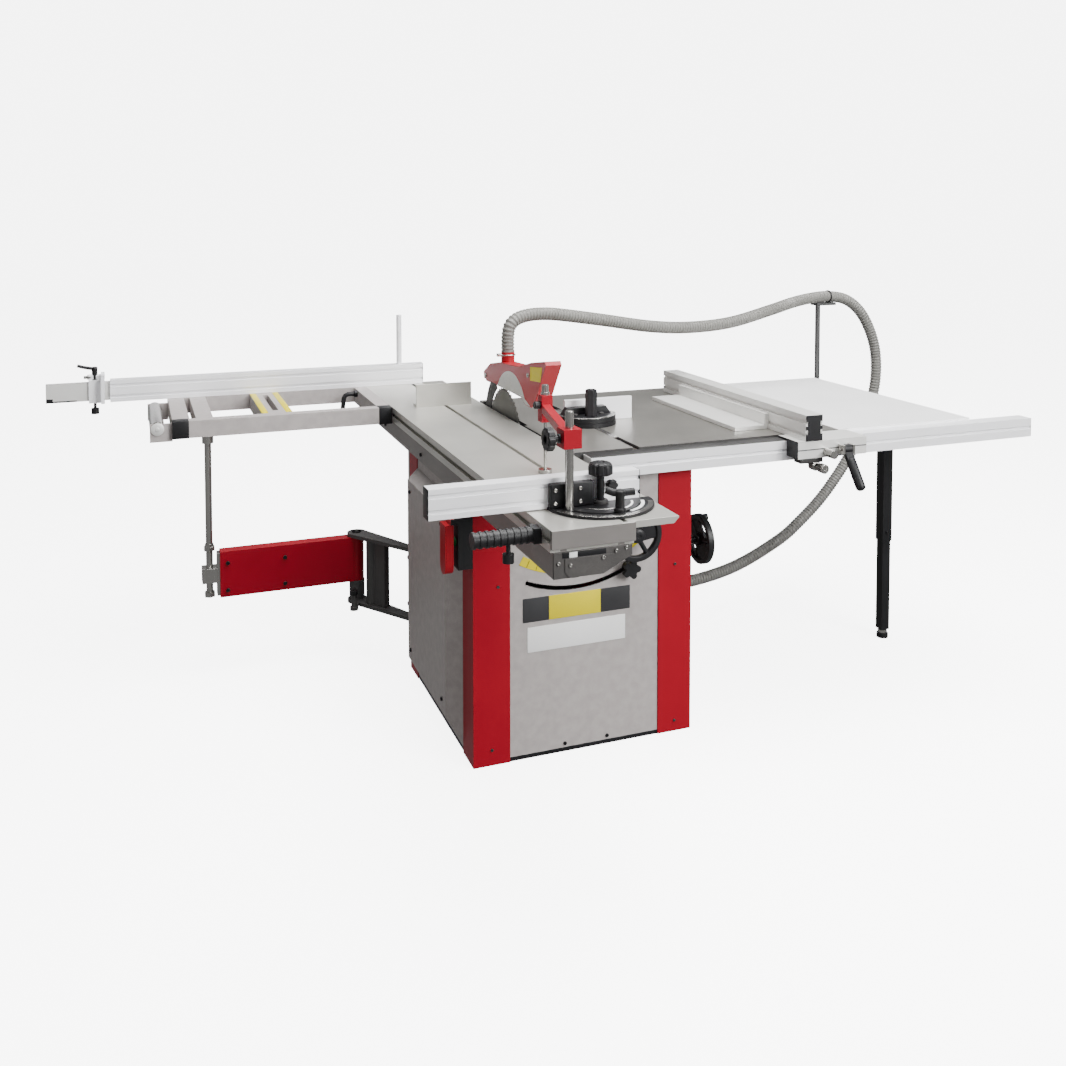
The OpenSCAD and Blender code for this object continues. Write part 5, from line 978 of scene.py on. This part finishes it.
# %% Rear fence and its stop
STOP_IN, HUB_DOWN = 0.02, 0.024
STOP_HUB = [(0, 13), (6, 13), (8, 9.5), (40, 9.5), (46, 10.5), (50, 8)]
STOP_LEVER = [(0.002, 0, 0.043), (-0.012, 0, 0.045), (-0.038, -0.002, 0.051), (-0.056, -0.004, 0.057)]
STOP_LEVER_ROD, BOLT_PLACE = 0.0058, Vector((-0.012, 0, 0.014))
STOP_BOLT = [(0, 9), (12, 9), (12, 5.5), (22, 5.5), (24, 4)]
TIP_PROUD, TIP_LENGTH, TIP_UP, STRIP_LENGTH, STRIP_UP, TIP_BACK = 0.0003, 0.022, 0.014, 0.099, 0.005, 0.001
REAR_END_TOP = 0.929
end_low, end_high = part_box("fence_extension")
stop_low, stop_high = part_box("stop_carriage")
rear_low, rear_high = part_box("rear_fence")

HUB = Vector((stop_low.x + STOP_IN, (stop_low.y + stop_high.y) / 2, stop_high.z - HUB_DOWN))
turned("stop_lock_hub", HUB, UP, STOP_HUB, black_plastic, "stop_slider")
bent_rod("stop_lock_lever", STOP_LEVER, STOP_LEVER_ROD, black_plastic, "stop_slider", at=HUB)
turned("stop_lock_bolt", HUB + BOLT_PLACE, LEFT, STOP_BOLT, bright_steel, "stop_slider", sides=24)
tip_low = Vector((end_low.x, end_low.y - TIP_PROUD, end_low.z - TIP_PROUD))
tip_back = end_high.y - TIP_BACK
block("fence_tip_strip", tip_low, (end_low.x + STRIP_LENGTH, tip_back, end_low.z + STRIP_UP), 0.0001,
    dark_iron, "fence_end")
rear_top = Vector((rear_high.x, rear_high.y, REAR_END_TOP))
end_cap("rear_fence_end", rear_low, rear_top, 1, END_T, black_plastic, "rear_unit")
block("fence_tip", tip_low - Vector((0, TIP_PROUD / 3, TIP_PROUD / 3)),
    (end_low.x + TIP_LENGTH, tip_back, end_low.z + TIP_UP), 0.0001, black_plastic, "fence_end")
print("rear fence and its stop dressed")

# %% [markdown]
# The mitre gauge is a thick half disc on a bar, with a bright rim that has marks, a riser behind it for
# the fence, and a tall knob that is a hexagon. The disc is an arc closed by two corners, so it is cut
# as a plate, and so are the rim and the marks on it.

# %% Mitre gauge
GAUGE, PLATE_TOP, HEAD_Z = (0.163, 0.04), 0.8625, 0.8805
RIM_R0, RIM_R1, RIM_SHEET = 0.086, 0.0985, 0.0008
BODY_HALF, BODY_BACK, BODY_EDGE = 0.088, 0.0115, 0.0012
RISER_LOW, RISER_HIGH, RISER_UP, RISER_T, RISER_Y, RISER_EDGE = 0.082, 0.066, 0.022, 0.03, 0.0365, 0.0015
MARK_R, LONG_MARK_R, MARK_END_R, GAUGE_MARK_HALF = 0.0885, 0.0865, 0.0975, 0.35
KNOB_BACK, GAUGE_INK_UP = 0.05, 0.001
GAUGE_KNOB = [(0, 20), (4, 20), (6, 18.8), (80, 18.8), (84.5, 16), (84.5, 8), (82.5, 6)]

body_outline = arc(GAUGE, RIM_R1, -88, 88, 40) + [(GAUGE[0] + BODY_HALF, GAUGE[1] + BODY_BACK),
    (GAUGE[0] - BODY_HALF, GAUGE[1] + BODY_BACK)]
cut_plate("gauge_body", [body_outline], HEAD_Z - PLATE_TOP, "xy", (HEAD_Z + PLATE_TOP) / 2, black_paint,
    "mitre_turn", edge=BODY_EDGE)
riser_outline = [(GAUGE[0] - RISER_LOW, HEAD_Z), (GAUGE[0] + RISER_LOW, HEAD_Z),
    (GAUGE[0] + RISER_HIGH, HEAD_Z + RISER_UP), (GAUGE[0] - RISER_HIGH, HEAD_Z + RISER_UP)]
cut_plate("gauge_riser", [riser_outline], RISER_T, "xz", RISER_Y, black_paint, "mitre_turn",
    edge=RISER_EDGE)
cut_plate("gauge_rim", [arc_band(GAUGE, RIM_R0, RIM_R1, -84, 84)], RIM_SHEET, "xy", HEAD_Z + RIM_SHEET / 2,
    bright_steel, "mitre_turn")
gauge_marks = scale_marks(GAUGE, MARK_R, LONG_MARK_R, MARK_END_R, GAUGE_MARK_HALF, -75, 75)
cut_plate("gauge_marks", gauge_marks, INK_T, "xy", HEAD_Z + GAUGE_INK_UP, black_paint, "mitre_turn")
turned("gauge_knob", (GAUGE[0], GAUGE[1] - KNOB_BACK, HEAD_Z), UP, GAUGE_KNOB, black_plastic, "mitre_turn",
    sides=6)
screws("gauge_screw", (GAUGE[0] - 0.045, GAUGE[1] - 0.03, HEAD_Z), UP, 7, dark_iron, "mitre_turn",
    [(0.09, 0, 0)])
print("gauge marks:", len(gauge_marks))

# %% [markdown]
# The studio is a white floor under a wide white dome, so that no line shows where they meet. Both
# glow a little, as paper lit from behind does, and only the camera sees them: the machine is lit by
# the sky and the lamps alone, so its colours stay deep while the room stays bright.

# %% Studio
FLOOR_SIZE, DOME_R, GLOW, SKY = 60.0, 28.0, 6.0, 0.32
deselect()
bpy.ops.mesh.primitive_plane_add(size=FLOOR_SIZE, location=(0, 0, -0.0005))
floor = bpy.context.object
floor.name = "studio_floor"
bpy.ops.mesh.primitive_uv_sphere_add(segments=48, ring_count=24, radius=DOME_R)
dome = bpy.context.object
dome.name = "studio_dome"
bpy.ops.object.mode_set(mode="EDIT")
bpy.ops.mesh.bisect(plane_co=(0, 0, -0.001), plane_no=(0, 0, 1), clear_inner=True)
bpy.ops.mesh.select_all(action="SELECT")
bpy.ops.mesh.normals_make_consistent(inside=True)
bpy.ops.object.mode_set(mode="OBJECT")
bpy.ops.object.shade_smooth()
paper = finish("studio_paper", (0.9, 0.9, 0.9), 0.85, mottle=0.005, grain=200, depth=0.00005)
paper.node_tree.nodes["Principled BSDF"].inputs["Emission Color"].default_value = (1, 1, 1, 1)
paper.node_tree.nodes["Principled BSDF"].inputs["Emission Strength"].default_value = GLOW
for sheet in (floor, dome):
    sheet.data.materials.append(paper)
    sheet.visible_diffuse = False
    sheet.visible_glossy = False
    sheet.visible_transmission = False
    sheet.visible_shadow = False
world = bpy.data.worlds.new("studio_sky")
bpy.context.scene.world = world
world.use_nodes = True
world.node_tree.nodes["Background"].inputs["Color"].default_value = (1, 1, 1, 1)
world.node_tree.nodes["Background"].inputs["Strength"].default_value = SKY
print("floor and dome set up")

# %% [markdown]
# Square lamps stand for a studio's soft boxes: a wide one overhead, a strong one at the right, and a
# weak one at the left, so that the shaded side keeps some colour.

# %% Lamps
def soft_light(name, place, target, size, power):
    lamp = bpy.data.lights.new(name, "AREA")
    lamp.shape = "SQUARE"
    lamp.size = size
    lamp.energy = power
    made = bpy.data.objects.new(name, lamp)
    made.location = place
    made.rotation_euler = (Vector(target) - Vector(place)).to_track_quat("-Z", "Y").to_euler()
    bpy.context.scene.collection.objects.link(made)


soft_light("overhead", (0.6, -0.4, 4.4), (0.1, 0.1, 0.6), 3.0, 430)
soft_light("right_front", (2.6, -4.6, 2.9), (0, 0, 0.6), 2.6, 470)
soft_light("left_front", (-3.4, -4.2, 2.2), (0, 0, 0.6), 2.4, 15)
print("studio lit")
